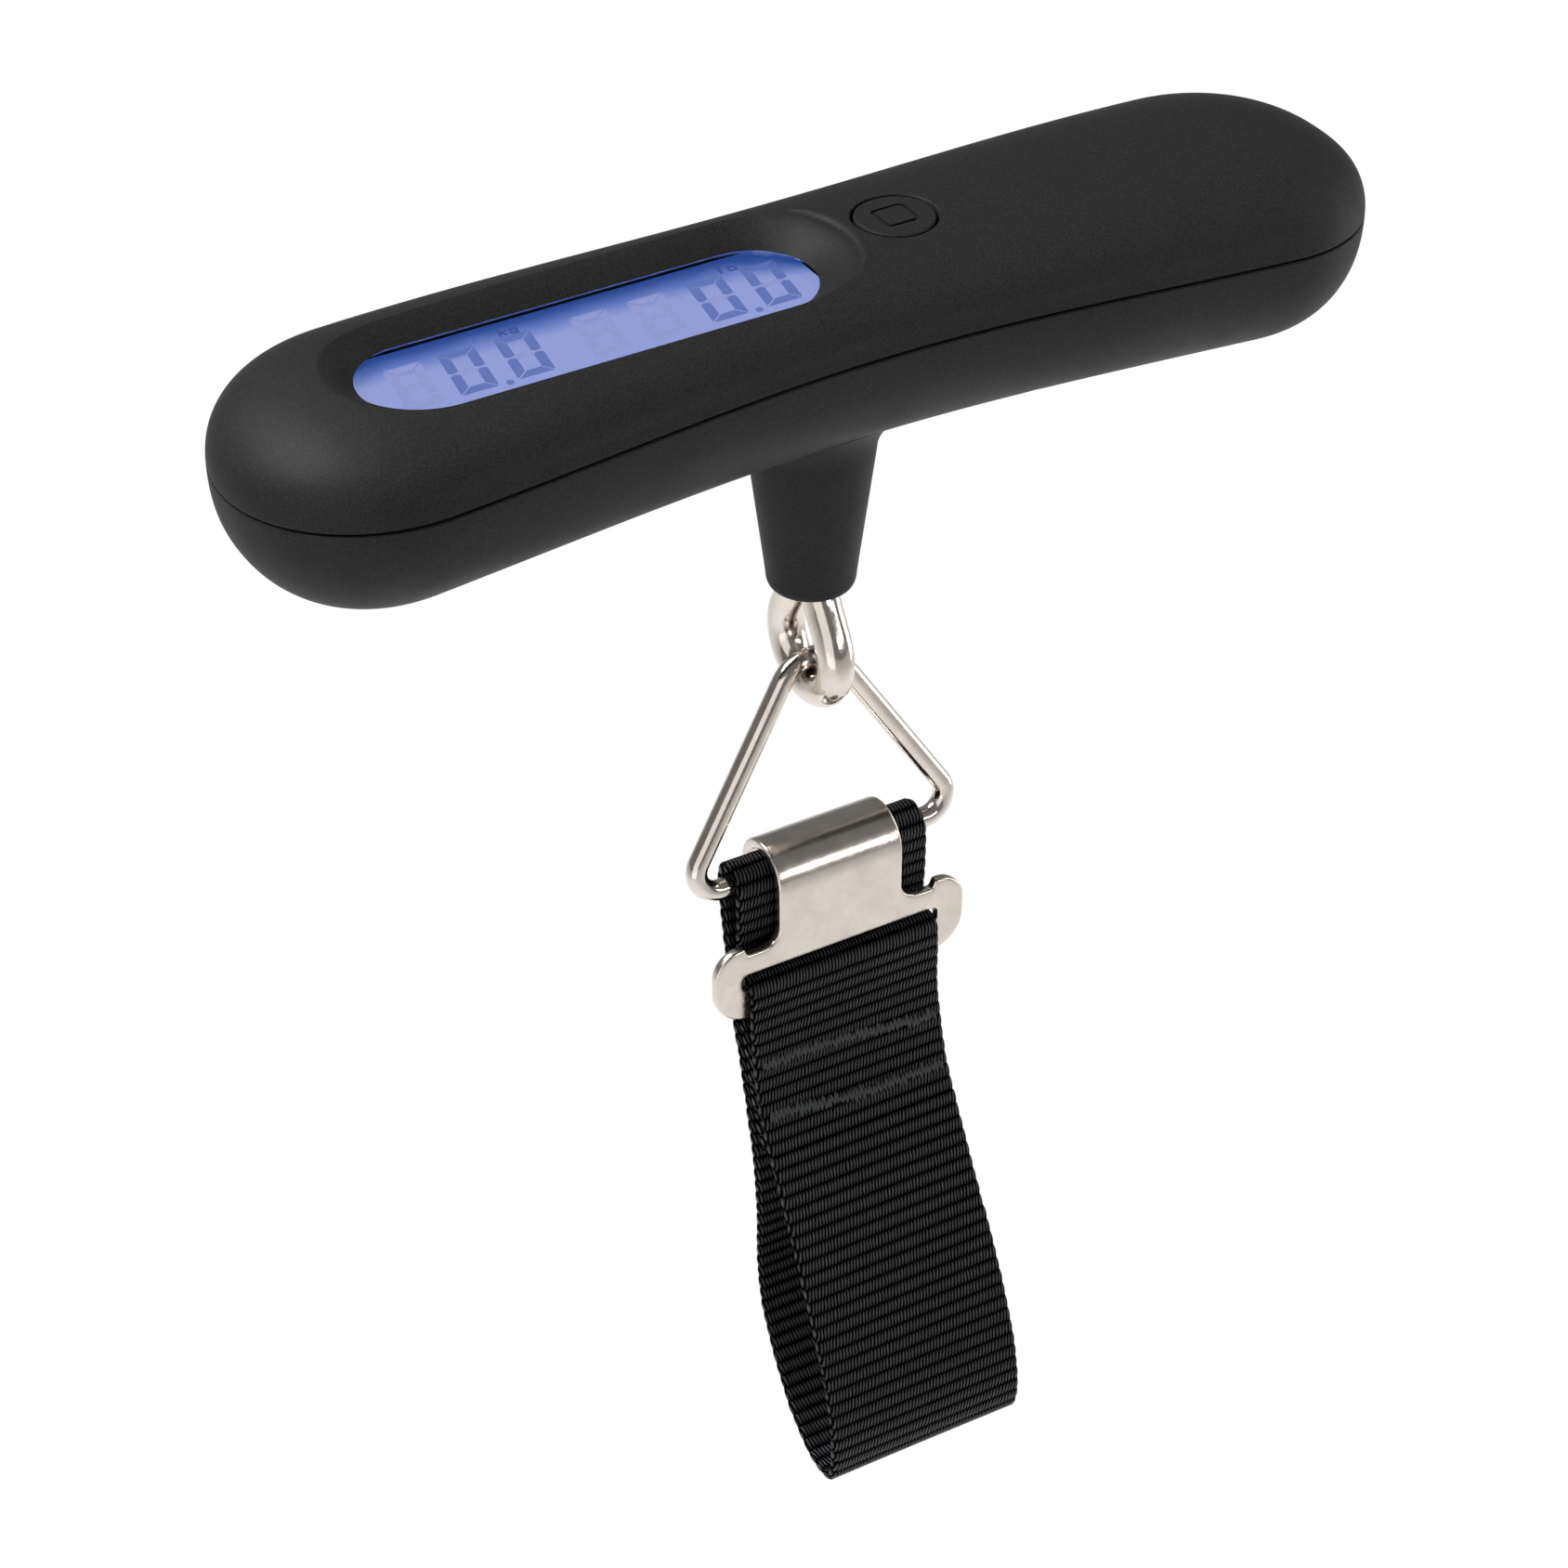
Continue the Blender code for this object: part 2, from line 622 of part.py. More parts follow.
def electronics():
    green = material("board_green", (0.02, 0.12, 0.05), 0.45)
    outline = box_outline(BOARD_X, (-BOARD_HALF_WIDTH, BOARD_HALF_WIDTH), 1.5 * MM, 3)
    holes = [circle(place, 1.3 * MM, 12) for place in BOARD_SCREWS]
    bottom = BOARD_TOP - BOARD_THICKNESS
    slab("circuit_board", [outline, *holes], (bottom, BOARD_TOP), green)
    switch_x = (BUTTON_X - 3 * MM, BUTTON_X + 3 * MM)
    slab(
        "tact_switch", [box_outline(switch_x, (-3 * MM, 3 * MM), 0.4 * MM, 2)], (BOARD_TOP + GAP, -0.9 * MM), black_plastic()
    )
    chip_x = (8 * MM, 15 * MM)
    chip_z = (bottom - GAP - 1.0 * MM, bottom - GAP)
    slab("controller_chip", [box_outline(chip_x, (-3.5 * MM, 3.5 * MM))], chip_z, black_plastic())
    for number, place in enumerate(BOARD_SCREWS, 1):
        screw(f"board_screw_{number}", place, bottom - GAP, 1.3 * MM, 2.1 * MM, 0.8 * MM, 1.4 * MM, up=True)


def screw(name, place, seat, head_height, head_radius, shank_radius, tip, up):
    """A pan-head screw. Its head lies against seat, and its shank runs to tip."""
    way = 1 if up else -1
    slot_depth = 0.5 * head_height
    profile = [
        (0, tip),
        (shank_radius * 0.7, tip),
        (shank_radius, tip - way * 0.5 * MM),
        (shank_radius, seat),
        (head_radius, seat),
        (head_radius, seat - way * head_height * 0.6),
        (head_radius * 0.75, seat - way * head_height),
        (0, seat - way * head_height),
    ]
    obj = shade_round(turned(name, profile, steel(), place, 16), 35)
    far = seat - way * head_height
    levels = sorted((far + way * slot_depth, far - way * MM))
    arm = 0.22 * MM
    reach = head_radius * 0.7
    for turn, (u, v) in enumerate(((reach, arm), (arm, reach))):
        outline = box_outline((place[0] - u, place[0] + u), (place[1] - v, place[1] + v))
        boolean(obj, slab(f"{name}_slot_{turn}", [outline], levels, steel()), "DIFFERENCE")
    return obj


def load_cell():
    beam = slab(
        "load_cell_beam",
        [
            box_outline(BEAM_X, (-BEAM_HALF_WIDTH, BEAM_HALF_WIDTH), 0.8 * MM, 3),
            circle((0, 0), STUD_RADIUS + GAP, 20),
            *[circle((x, 0), 1.6 * MM, 16) for x in BEAM_SCREWS_X],
        ],
        BEAM_Z,
        aluminium(),
    )
    middle = (BEAM_Z[0] + BEAM_Z[1]) / 2
    for number, x in enumerate(CUTOUT_X):
        lobe = plate(f"cutout_{number}", [circle((x, middle), CUTOUT_RADIUS, 20)], 10 * MM, aluminium(), "XZ")
        boolean(beam, lobe, "DIFFERENCE")
    slit = plate("cutout_slit", [box_outline(CUTOUT_X, (middle - 0.7 * MM, middle + 0.7 * MM))], 10 * MM, aluminium(), "XZ")
    boolean(beam, slit, "DIFFERENCE")
    foil = material("gauge_foil", (0.75, 0.45, 0.2), 0.5)
    for name, x, levels in (
        ("strain_gauge_upper", CUTOUT_X[0], (BEAM_Z[1] + GAP, BEAM_Z[1] + GAP + 0.3 * MM)),
        ("strain_gauge_lower", CUTOUT_X[1], (BEAM_Z[0] - GAP - 0.3 * MM, BEAM_Z[0] - GAP)),
    ):
        slab(name, [box_outline((x - 3 * MM, x + 3 * MM), (-2 * MM, 2 * MM), 0.3 * MM, 2)], levels, foil)
    for number, x in enumerate(BEAM_SCREWS_X, 1):
        screw(f"load_cell_screw_{number}", (x, 0), BEAM_Z[1] + GAP, 1.7 * MM, 2.6 * MM, 1.2 * MM, -14.4 * MM, up=False)


def hanger():
    """The fork that carries the link: a stud up through the beam, and two cheeks round the pin."""
    stud_top = -4.4 * MM
    cheek_top = -25.0 * MM
    fork = cylinder("hanger_fork", (0, 0), STUD_RADIUS, (cheek_top + 0.5 * MM, stud_top), steel(), 20)
    head = cylinder("fork_head", (0, 0), 3.55 * MM, (PIN_HEIGHT - 1.9 * MM, cheek_top + MM), steel(), 28)
    boolean(fork, head, "UNION")
    pin_hole = plate("fork_pin_hole", [circle((0, PIN_HEIGHT), PIN_RADIUS + 0.2 * MM, 18)], 8 * MM, steel(), "YZ")
    boolean(fork, pin_hole, "DIFFERENCE")
    for side in (-1, 1):
        flat = slab(
            f"fork_flat_{side}",
            [box_outline((-6 * MM, 6 * MM), sorted((side * 2.3 * MM, side * 6 * MM)))],
            (-36 * MM, -28.5 * MM),
            steel(),
        )
        boolean(fork, flat, "DIFFERENCE")
    slot = slab(
        "fork_slot", [box_outline((-1.9 * MM, 1.9 * MM), (-6 * MM, 6 * MM))], (-36 * MM, -27.6 * MM), steel()
    )
    boolean(fork, slot, "DIFFERENCE")
    plate("link_pin", [circle((0, PIN_HEIGHT), PIN_RADIUS, 20)], 3.3 * MM, steel(), "YZ")
    washer_z = (BEAM_Z[1] + GAP, BEAM_Z[1] + GAP + 0.6 * MM)
    slab(
        "hanger_washer", [circle((0, 0), 4.2 * MM, 24), circle((0, 0), STUD_RADIUS + GAP, 20)], washer_z, steel()
    )
    nut_z = (washer_z[1] + GAP, washer_z[1] + GAP + 2.0 * MM)
    slab(
        "hanger_nut", [circle((0, 0), 3.9 * MM, 6), circle((0, 0), STUD_RADIUS + GAP, 20)], nut_z, steel()
    )


def battery():
    cell = turned(
        "battery_cell",
        [
            (0, CELL_Z[1]),
            (8.8 * MM, CELL_Z[1]),
            (9.0 * MM, CELL_Z[1] - 0.4 * MM),
            (CELL_RADIUS, CELL_Z[1] - 0.7 * MM),
            (CELL_RADIUS, CELL_Z[0] + 0.3 * MM),
            (CELL_RADIUS - 0.3 * MM, CELL_Z[0]),
            (0, CELL_Z[0]),
        ],
        steel(),
        (BATTERY_X, 0),
        32,
    )
    shade_round(cell)
    ring = [circle((BATTERY_X, 0), 11.5 * MM, 40), circle((BATTERY_X, 0), 10.4 * MM, 40)]
    holder = slab("battery_holder", ring, (-9.9 * MM, -5.8 * MM), black_plastic())
    window = [box_outline((BATTERY_X + 9 * MM, BATTERY_X + 13 * MM), (-3 * MM, 3 * MM))]
    boolean(holder, slab("contact_window", window, (-8.4 * MM, -4 * MM), black_plastic()), "DIFFERENCE")
    side_leaf = [box_outline((BATTERY_X + 10.4 * MM, BATTERY_X + 10.8 * MM), (-2.5 * MM, 2.5 * MM))]
    slab("battery_contact_positive", side_leaf, (-8.0 * MM, -5.0 * MM), nickel())
    top_leaf = [box_outline((BATTERY_X - 12 * MM, BATTERY_X + 5 * MM), (-2.5 * MM, 2.5 * MM), 1.5 * MM, 3)]
    slab("battery_contact_negative", top_leaf, (CELL_Z[1] + GAP, CELL_Z[1] + GAP + 0.4 * MM), nickel())


def housing_screws():
    for number, (x, y) in enumerate(HOUSING_SCREWS, 1):
        tip = min(2.2 * MM, parting_height(x) + 4.4 * MM)
        screw(f"housing_screw_{number}", (x, y), SCREW_SEAT - GAP, 1.4 * MM, 1.85 * MM, 0.9 * MM, tip, up=True)


# ---------------------------------------------------------------- what hangs below the neck


def eye_link():
    """A teardrop eye of thick wire, whose two limbs join in a flat tang with a hole for the pin."""
    knots = [
        (-1.35 * MM, -34.0 * MM, -91),
        (-LINK_LOOP_RADIUS, LINK_CENTRE_Z, -90),
    ]
    limb = smooth_path(knots, 7)
    bottom = arc((0, LINK_CENTRE_Z), LINK_LOOP_RADIUS, 180, 360, 16)
    route = limb[:-1] + bottom + [(-y, z) for y, z in limb[:-1]][::-1]
    link = tube("eye_link", [(0, y, z) for y, z in route], LINK_WIRE, nickel(), 16, closed=False)
    half = TANG_HALF_WIDTH
    outline = rounded(
        [
            (-half, -35.2 * MM, 1.2 * MM),
            (half, -35.2 * MM, 1.2 * MM),
            (half, PIN_HEIGHT + 2.7 * MM, 2.6 * MM),
            (-half, PIN_HEIGHT + 2.7 * MM, 2.6 * MM),
        ],
        5,
    )
    tang = plate("link_tang", [outline], 1.6 * MM, nickel(), "YZ")
    boolean(link, tang, "UNION")
    link.modifiers["link_tang"].use_self = True  # the two limbs run into each other at the top
    hole = plate("link_pin_hole", [circle((0, PIN_HEIGHT), PIN_RADIUS + 0.2 * MM, 20)], 5 * MM, nickel(), "YZ")
    boolean(link, hole, "DIFFERENCE")
    return shade_round(link, 50)


def ring_route():
    """The triangle's centre line in its own plane: (x, distance below the apex)."""
    height = hypot(BAR_Y, RING_APEX_Z - BAR_Z)
    base = RING_HALF_WIDTH + 0.8 * RING_CORNER_RADIUS
    lean = atan2(base, height)
    for _ in range(8):
        sharp_height = height + RING_APEX_RADIUS * (1 / sin(lean) - 1)
        lean = atan2(base, sharp_height)
    return rounded(
        [
            (0, sharp_height - height, RING_APEX_RADIUS),
            (base, -height, RING_CORNER_RADIUS),
            (-base, -height, RING_CORNER_RADIUS),
        ],
        10,
    )


def triangle_ring():
    ring = tube("triangle_ring", [(x, 0, z) for x, z in ring_route()], RING_WIRE, nickel(), 12)
    pivot = bpy.data.objects.new("ring_pivot", None)
    PARTS.objects.link(pivot)
    pivot.location = (0, 0, RING_APEX_Z)
    pivot.rotation_euler = (atan2(BAR_Y, RING_APEX_Z - BAR_Z), 0, 0)
    ring.parent = pivot
    return shade_round(ring, 60)


def hook_plate():
    """Sheet steel: a curl over the ring's bar, a flat face, then two ears and a slot for the webbing."""
    middle = CURL_INNER_RADIUS + HOOK_THICKNESS / 2
    curl = arc(CURL_CENTRE, middle, -8, 180, 20)
    path = curl + [(PLATE_Y, SHOULDER_Z + 2 * MM)]
    hook = plate("hook_plate", [band(path, HOOK_THICKNESS)], CURL_HALF_WIDTH, nickel(), "YZ")
    right = [
        (CURL_HALF_WIDTH, BAR_Z - 2 * MM, 0),
        (CURL_HALF_WIDTH, SHOULDER_Z, 2.2 * MM),
        (12.4 * MM, SHOULDER_Z, 0.3 * MM),
        (12.8 * MM, SHOULDER_Z + 1.0 * MM, 0.5 * MM),
        (EAR_HALF_WIDTH, SHOULDER_Z + 1.0 * MM, 3.6 * MM),
        (EAR_HALF_WIDTH, PLATE_BOTTOM, 4.4 * MM),
    ]
    left = [(-x, z, radius) for x, z, radius in right][::-1]
    slot = box_outline((-SLOT_HALF_WIDTH, SLOT_HALF_WIDTH), SLOT_Z, 0.6 * MM, 3)
    face = plate("hook_face", [rounded(right + left, 6), slot], HOOK_THICKNESS / 2, nickel(), "XZ", (0, PLATE_Y, 0))
    boolean(hook, face, "UNION")
    return shade_round(hook, 30)


def loop_path():
    """The webbing's centre line in side view: round the bar, down the back, and up the front to the seam."""
    end = [(BAR_Y - WRAP_RADIUS + 0.3 * MM, -80.6 * MM), (BAR_Y - WRAP_RADIUS, -76 * MM)]
    wrap = end + arc((BAR_Y, BAR_Z), WRAP_RADIUS, 180, 0, 12)
    back = BAR_Y + WRAP_RADIUS
    fall = [
        (back, BAR_Z, -92),
        (-3.5 * MM, -88 * MM, -98),
        (-5.3 * MM, -95 * MM, -104),
        (-9.2 * MM, -115 * MM, -93),
        (-10.6 * MM, -130 * MM, -112),
        (-22.0 * MM, -143.8 * MM, -152),
        (-25.8 * MM, -144.3 * MM, -187),
        (-27.5 * MM, -141.0 * MM, -266),
        (-25.0 * MM, -129.0 * MM, -292),
        (-12.75 * MM, SEAM_Z - 0.8 * MM, -298),
    ]
    return wrap[:-1] + smooth_path(fall, 5)


def webbing_loop():
    outline = band(loop_path(), WEBBING_THICKNESS)
    return plate("webbing_loop", [outline], WEBBING_HALF_WIDTH, webbing_black(), "YZ")


def webbing_fold():
    """The sewn end of the webbing, folded through the hook plate's slot."""
    centre = (PLATE_Y, SLOT_Z[0] - 0.6 * MM)
    front = smooth_path(
        [(-12.35 * MM, SEAM_Z, 62), (-9.65 * MM, -98 * MM, 75), (PLATE_Y - FOLD_RADIUS, -88 * MM, 90)], 5
    )
    fold = arc(centre, FOLD_RADIUS, 180, 0, 10)
    tail = smooth_path(
        [
            (PLATE_Y + FOLD_RADIUS, -87.2 * MM, -93),
            (-6.7 * MM, -92.4 * MM, -106),
            (-8.1 * MM, -98.2 * MM, -106),
            (-10.95 * MM, SEAM_Z - 0.3 * MM, -117),
        ],
        4,
    )
    outline = band(front + fold + tail, WEBBING_THICKNESS)
    return plate("webbing_fold", [outline], WEBBING_HALF_WIDTH, webbing_black(), "YZ")


clear_scene()
PARTS = new_collection("digital_luggage_scale")
CUTTERS = new_collection("cutters")
upper_shell()
lower_shell()
battery_door()
display()
elastomer_strip()
button()
electronics()
load_cell()
hanger()
battery()
housing_screws()
eye_link()
triangle_ring()
hook_plate()
webbing_loop()
webbing_fold()
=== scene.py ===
"""The looks of a digital luggage scale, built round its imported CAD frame.

Metres, in the frame's own axes: +X along the handle, -Y towards the user, +Z up, with the origin on the
neck's axis at the handle's parting line. MM turns millimetres into metres.
"""

from math import asin, atan2, cos, hypot, pi, radians, sin

import bmesh
import bpy
import numpy as np
from mathutils import Matrix, Vector
from mathutils.geometry import delaunay_2d_cdt, interpolate_bezier


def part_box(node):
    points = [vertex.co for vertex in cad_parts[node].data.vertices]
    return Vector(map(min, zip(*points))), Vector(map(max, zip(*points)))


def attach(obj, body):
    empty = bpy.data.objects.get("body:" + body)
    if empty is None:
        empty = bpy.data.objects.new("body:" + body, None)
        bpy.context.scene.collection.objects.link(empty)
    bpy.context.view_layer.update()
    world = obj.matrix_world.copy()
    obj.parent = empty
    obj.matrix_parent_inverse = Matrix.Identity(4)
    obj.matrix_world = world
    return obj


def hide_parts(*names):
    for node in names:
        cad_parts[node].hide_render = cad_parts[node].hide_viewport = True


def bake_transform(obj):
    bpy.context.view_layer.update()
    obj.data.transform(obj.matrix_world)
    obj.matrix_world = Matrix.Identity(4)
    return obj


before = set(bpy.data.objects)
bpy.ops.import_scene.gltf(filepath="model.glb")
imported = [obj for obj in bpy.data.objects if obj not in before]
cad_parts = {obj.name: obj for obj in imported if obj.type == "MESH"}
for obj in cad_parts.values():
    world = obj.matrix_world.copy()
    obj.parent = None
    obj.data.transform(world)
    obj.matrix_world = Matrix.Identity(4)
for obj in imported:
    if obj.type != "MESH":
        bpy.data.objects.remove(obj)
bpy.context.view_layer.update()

MM = 0.001
GAP = 0.3 * MM

# Handle, as in the CAD.
HANDLE_HALF_LENGTH = 67.5 * MM
END_RADIUS = 17.5 * MM
WAIST_HALF_WIDTH = 15.3 * MM
END_HALF_WIDTH = 17.4 * MM
PARTING_SAG = 3.3 * MM
CROWN = 6.6 * MM
CROWN_FALL = 0.9 * MM
BELLY = 15.4 * MM
BELLY_FALL = 3.9 * MM
CROWN_POWER = 2.32
BELLY_POWER = 2.2
WALL = 1.8 * MM
EDGE_ROUND = 0.13 * MM  # rounding of the shells' edges along the parting line

NECK_TOP_RADIUS = 7.4 * MM
NECK_TAPER = 0.126
NECK_BOTTOM = -35.6 * MM
NECK_ROUNDING = 1.4 * MM
BORE_RADIUS = 4.45 * MM

DISPLAY_X = -26.1 * MM
DISPLAY_HALF_LENGTH = 25.85 * MM
DISPLAY_HALF_WIDTH = 6.95 * MM
DISPLAY_LEVEL = 3.3 * MM
DISH_WIDTH = 4.2 * MM
DISH_RISE = 2.6 * MM

BUTTON_X = 9.96 * MM
BUTTON_HOLE_RADIUS = 4.66 * MM
BUTTON_ICON_SIZE = 4.1 * MM

BATTERY_X = 37 * MM
DOOR_HALF_SIZE = (12.0 * MM, 11.2 * MM)
DOOR_CORNER = 2.5 * MM
DOOR_LEVELS = (-25 * MM, -10.2 * MM)  # heights between which the belly's wall is cut
HOUSING_SCREWS = ((-60 * MM, 0.0), (21.5 * MM, -8.4 * MM), (21.5 * MM, 8.4 * MM), (60 * MM, 0.0))
SCREW_SEAT = -8.0 * MM

# Hanging parts, as in the CAD.
LINK_WIRE = 2.1 * MM
LINK_LOOP_RADIUS = 5.4 * MM
LINK_CENTRE_Z = -43.9 * MM
PIN_HEIGHT = -31.5 * MM
RING_WIRE = 1.22 * MM
RING_APEX_Z = LINK_CENTRE_Z - LINK_LOOP_RADIUS + LINK_WIRE + RING_WIRE + 0.1 * MM
BAR_Y = -2.9 * MM
BAR_Z = -71.2 * MM
RING_APEX_RADIUS = 4.6 * MM
RING_CORNER_RADIUS = 2.8 * MM
RING_HALF_WIDTH = 16.3 * MM
WEBBING_THICKNESS = 1.2 * MM
WEBBING_HALF_WIDTH = 12.5 * MM
WRAP_RADIUS = RING_WIRE + 0.28 * MM + WEBBING_THICKNESS / 2
HOOK_THICKNESS = 1.2 * MM
CURL_INNER_RADIUS = 3.2 * MM
CURL_HALF_WIDTH = 8.1 * MM
CURL_CENTRE = (BAR_Y + 0.1 * MM, BAR_Z - 0.2 * MM)
PLATE_Y = CURL_CENTRE[0] - CURL_INNER_RADIUS - HOOK_THICKNESS / 2
PLATE_BOTTOM = -87.5 * MM
SHOULDER_Z = -78.4 * MM
EAR_HALF_WIDTH = 16.5 * MM
SLOT_Z = (-83.2 * MM, -81.3 * MM)
SLOT_HALF_WIDTH = 12.9 * MM
FOLD_RADIUS = 1.5 * MM
SEAM_Z = -104.6 * MM

# Surface detail.
RIB_PITCH = 1.64 * MM
RIB_HEIGHT = 0.08 * MM
YARN_PITCH = 0.43 * MM

PARTS = bpy.context.scene.collection


# ---------------------------------------------------------------- materials


class Look:
    """A node material round one Principled shader, with short calls for the nodes used here."""

    def __init__(self, name, colour, roughness, metallic=0.0, **sockets):
        self.material = bpy.data.materials.new(name)
        self.material.use_nodes = True
        self.tree = self.material.node_tree
        self.shader = self.tree.nodes["Principled BSDF"]
        self.set("Base Color", (*colour, 1.0))
        self.set("Roughness", roughness)
        self.set("Metallic", metallic)
        for socket, value in sockets.items():
            self.set(socket.replace("_", " "), value)

    def set(self, socket, value):
        self.shader.inputs[socket].default_value = value

    def node(self, kind, **settings):
        made = self.tree.nodes.new(kind)
        for name, value in settings.items():
            setattr(made, name, value)
        return made

    def link(self, output, target, socket=None):
        self.tree.links.new(output, target if socket is None else target.inputs[socket])

    def place(self, scale=(1, 1, 1)):
        """Object coordinates in millimetres, times scale."""
        source = self.node("ShaderNodeTexCoord")
        mapping = self.node("ShaderNodeMapping")
        mapping.inputs["Scale"].default_value = [size / MM for size in scale]
        self.link(source.outputs["Object"], mapping, "Vector")
        return mapping.outputs["Vector"]

    def noise(self, scale, detail=2.0, roughness=0.5, place=None):
        """Noise over object space, at scale features a millimetre."""
        made = self.node("ShaderNodeTexNoise")
        made.inputs["Scale"].default_value = scale
        made.inputs["Detail"].default_value = detail
        made.inputs["Roughness"].default_value = roughness
        self.link(place or self.place(), made, "Vector")
        return made.outputs["Fac"]

    def math(self, operation, first, second=None):
        made = self.node("ShaderNodeMath", operation=operation)
        for index, value in enumerate((first, second)):
            if value is None:
                continue
            if isinstance(value, (int, float)):
                made.inputs[index].default_value = value
            else:
                self.link(value, made.inputs[index])
        return made.outputs[0]

    def times(self, first, second):
        return self.math("MULTIPLY", first, second)

    def plus(self, first, second):
        return self.math("ADD", first, second)

    def drift(self, noise, reach):
        """A noise moved to lie round zero, reach wide."""
        return self.times(self.math("SUBTRACT", noise, 0.5), reach)

    def backs(self, place, pitch):
        """From 0 to 1 and back once every pitch, like the round backs of threads side by side."""
        return self.math("ABSOLUTE", self.math("SINE", self.times(place, pi * MM / pitch)))

    def vary(self, socket, factor, *stops):
        """Drives a socket of the shader through a ramp of (position, colour or level) stops."""
        made = self.node("ShaderNodeValToRGB")
        elements = made.color_ramp.elements
        while len(elements) < len(stops):
            elements.new(0.5)
        for element, (position, value) in zip(elements, stops):
            element.position = position
            colour = (value,) * 3 if isinstance(value, (int, float)) else value
            element.color = (*colour, 1.0)
        self.link(factor, made, "Fac")
        self.link(made.outputs["Color"], self.shader, socket)

    def bump(self, *layers):
        """Stacked bumps of (height, strength, distance in millimetres)."""
        below = None
        for height, strength, distance in layers:
            made = self.node("ShaderNodeBump")
            made.inputs["Strength"].default_value = strength
            made.inputs["Distance"].default_value = distance * MM
            self.link(height, made, "Height")
            if below is not None:
                self.link(below, made, "Normal")
            below = made.outputs["Normal"]
        self.link(below, self.shader, "Normal")


def soft_touch():
    """Matt rubber-like coating: a fine even grain, and slightly polished patches where hands rub it."""
    look = Look("soft_touch_black", (0.014, 0.0145, 0.0135), 0.55, Specular_IOR_Level=0.13)
    grain = look.noise(6.5, 3.0, 0.6)
    patches = look.noise(0.09, 3.0, 0.6)
    flecks = look.noise(5.0, 4.0, 0.8)
    look.vary("Roughness", patches, (0.3, 0.50), (0.7, 0.60))
    look.vary("Base Color", flecks, (0.35, (0.0050, 0.0058, 0.0056)), (0.65, (0.0230, 0.0242, 0.0225)))
    look.bump((patches, 0.12, 0.05), (grain, 0.22, 0.02))
    return look.material


def moulded_plastic(name, colour, roughness=0.42):
    look = Look(name, colour, roughness)
    look.vary("Roughness", look.noise(0.5), (0.3, roughness - 0.05), (0.7, roughness + 0.08))
    look.bump((look.noise(4.0, 3.0), 0.2, 0.015))
    return look.material


def nickel(name="nickel_wire", satin=0.0):
    """Warm nickel plate. satin adds the pebbled finish of stamped and tumbled sheet."""
    look = Look(name, (0.66, 0.60, 0.54), 0.14 + 0.14 * satin, 1.0)
    cloud = look.noise(0.35, 4.0, 0.65)
    smear = look.noise(1.3, 5.0, 0.7)
    pebble = look.noise(4.5 if satin else 2.2, 3.0, 0.6)
    look.vary("Base Color", cloud, (0.25, (0.60, 0.54, 0.48)), (0.75, (0.72, 0.67, 0.61)))
    look.vary("Roughness", smear, (0.3, 0.10 + 0.07 * satin), (0.72, 0.22 + 0.06 * satin))
    look.bump((look.noise(0.8, 3.0), 0.15, 0.05), (pebble, 0.3 + 0.35 * satin, 0.018))
    return look.material


def brushed(name, colour, roughness, direction=(1, 12, 12)):
    """Machined metal with fine lines along the short side of direction."""
    look = Look(name, colour, roughness, 1.0)
    lines = look.noise(1.6, 3.0, 0.6, look.place(direction))
    look.vary("Roughness", lines, (0.3, roughness - 0.08), (0.7, roughness + 0.1))
    look.bump((lines, 0.25, 0.01))
    return look.material


def webbing():
    """Black polyester grosgrain, with painted shade in the grooves of the weave and painted highlight on its
    crests. The attribute weave holds millimetres along (x) and across (y) the strap.
    """
    look = Look("webbing_black", (0.004, 0.003, 0.006), 0.5, Specular_IOR_Level=0.4)
    weave = look.node("ShaderNodeAttribute", attribute_name="weave")
    split = look.node("ShaderNodeSeparateXYZ")
    look.link(weave.outputs["Vector"], split, "Vector")
    along, across = split.outputs["X"], split.outputs["Y"]
    wander = look.drift(look.noise(0.7, 2.0), 0.35)
    lean = look.times(look.math("FRACT", look.times(along, MM / RIB_PITCH)), 0.30)
    yarn = look.backs(look.math("SUBTRACT", look.plus(across, wander), lean), YARN_PITCH)
    rib = look.backs(along, RIB_PITCH)
    height = look.times(look.math("POWER", yarn, 0.8), look.plus(look.times(rib, 0.75), 0.25))
    # depth is 0 in the grooves between yarns and ribs and 1 on their crests; it also sets the specular level.
    depth = look.times(look.math("POWER", yarn, 1.6), look.math("POWER", rib, 0.6))
    fuzz = look.noise(5.5, 4.0, 0.7)
    blotch = look.noise(0.33, 4.0, 0.7)
    # Painted shade and highlight: the base colour is darkest in the grooves and lightest on the yarn crests,
    # mixed with random blotches.
    weave_shade_and_blotch = look.plus(look.times(depth, 0.62), look.times(blotch, 0.38))
    look.vary(
        "Base Color",
        weave_shade_and_blotch,
        (0.20, (0.0004, 0.0003, 0.0010)),
        (0.58, (0.0022, 0.0018, 0.0038)),
        (0.92, (0.026, 0.024, 0.028)),
    )
    look.vary("Roughness", fuzz, (0.3, 0.42), (0.7, 0.62))
    look.vary("Specular IOR Level", depth, (0.2, 0.0), (0.95, 0.6))
    look.bump((height, 1.0, 0.16), (fuzz, 0.4, 0.03))
    return look.material


def thread():
    look = Look("stitch_thread", (0.010, 0.012, 0.012), 0.6, Sheen_Weight=0.1)
    ply = look.noise(7.0, 3.0, 0.7)
    look.vary("Base Color", ply, (0.3, (0.004, 0.005, 0.005)), (0.7, (0.030, 0.034, 0.034)))
    look.bump((ply, 0.6, 0.04))
    return look.material


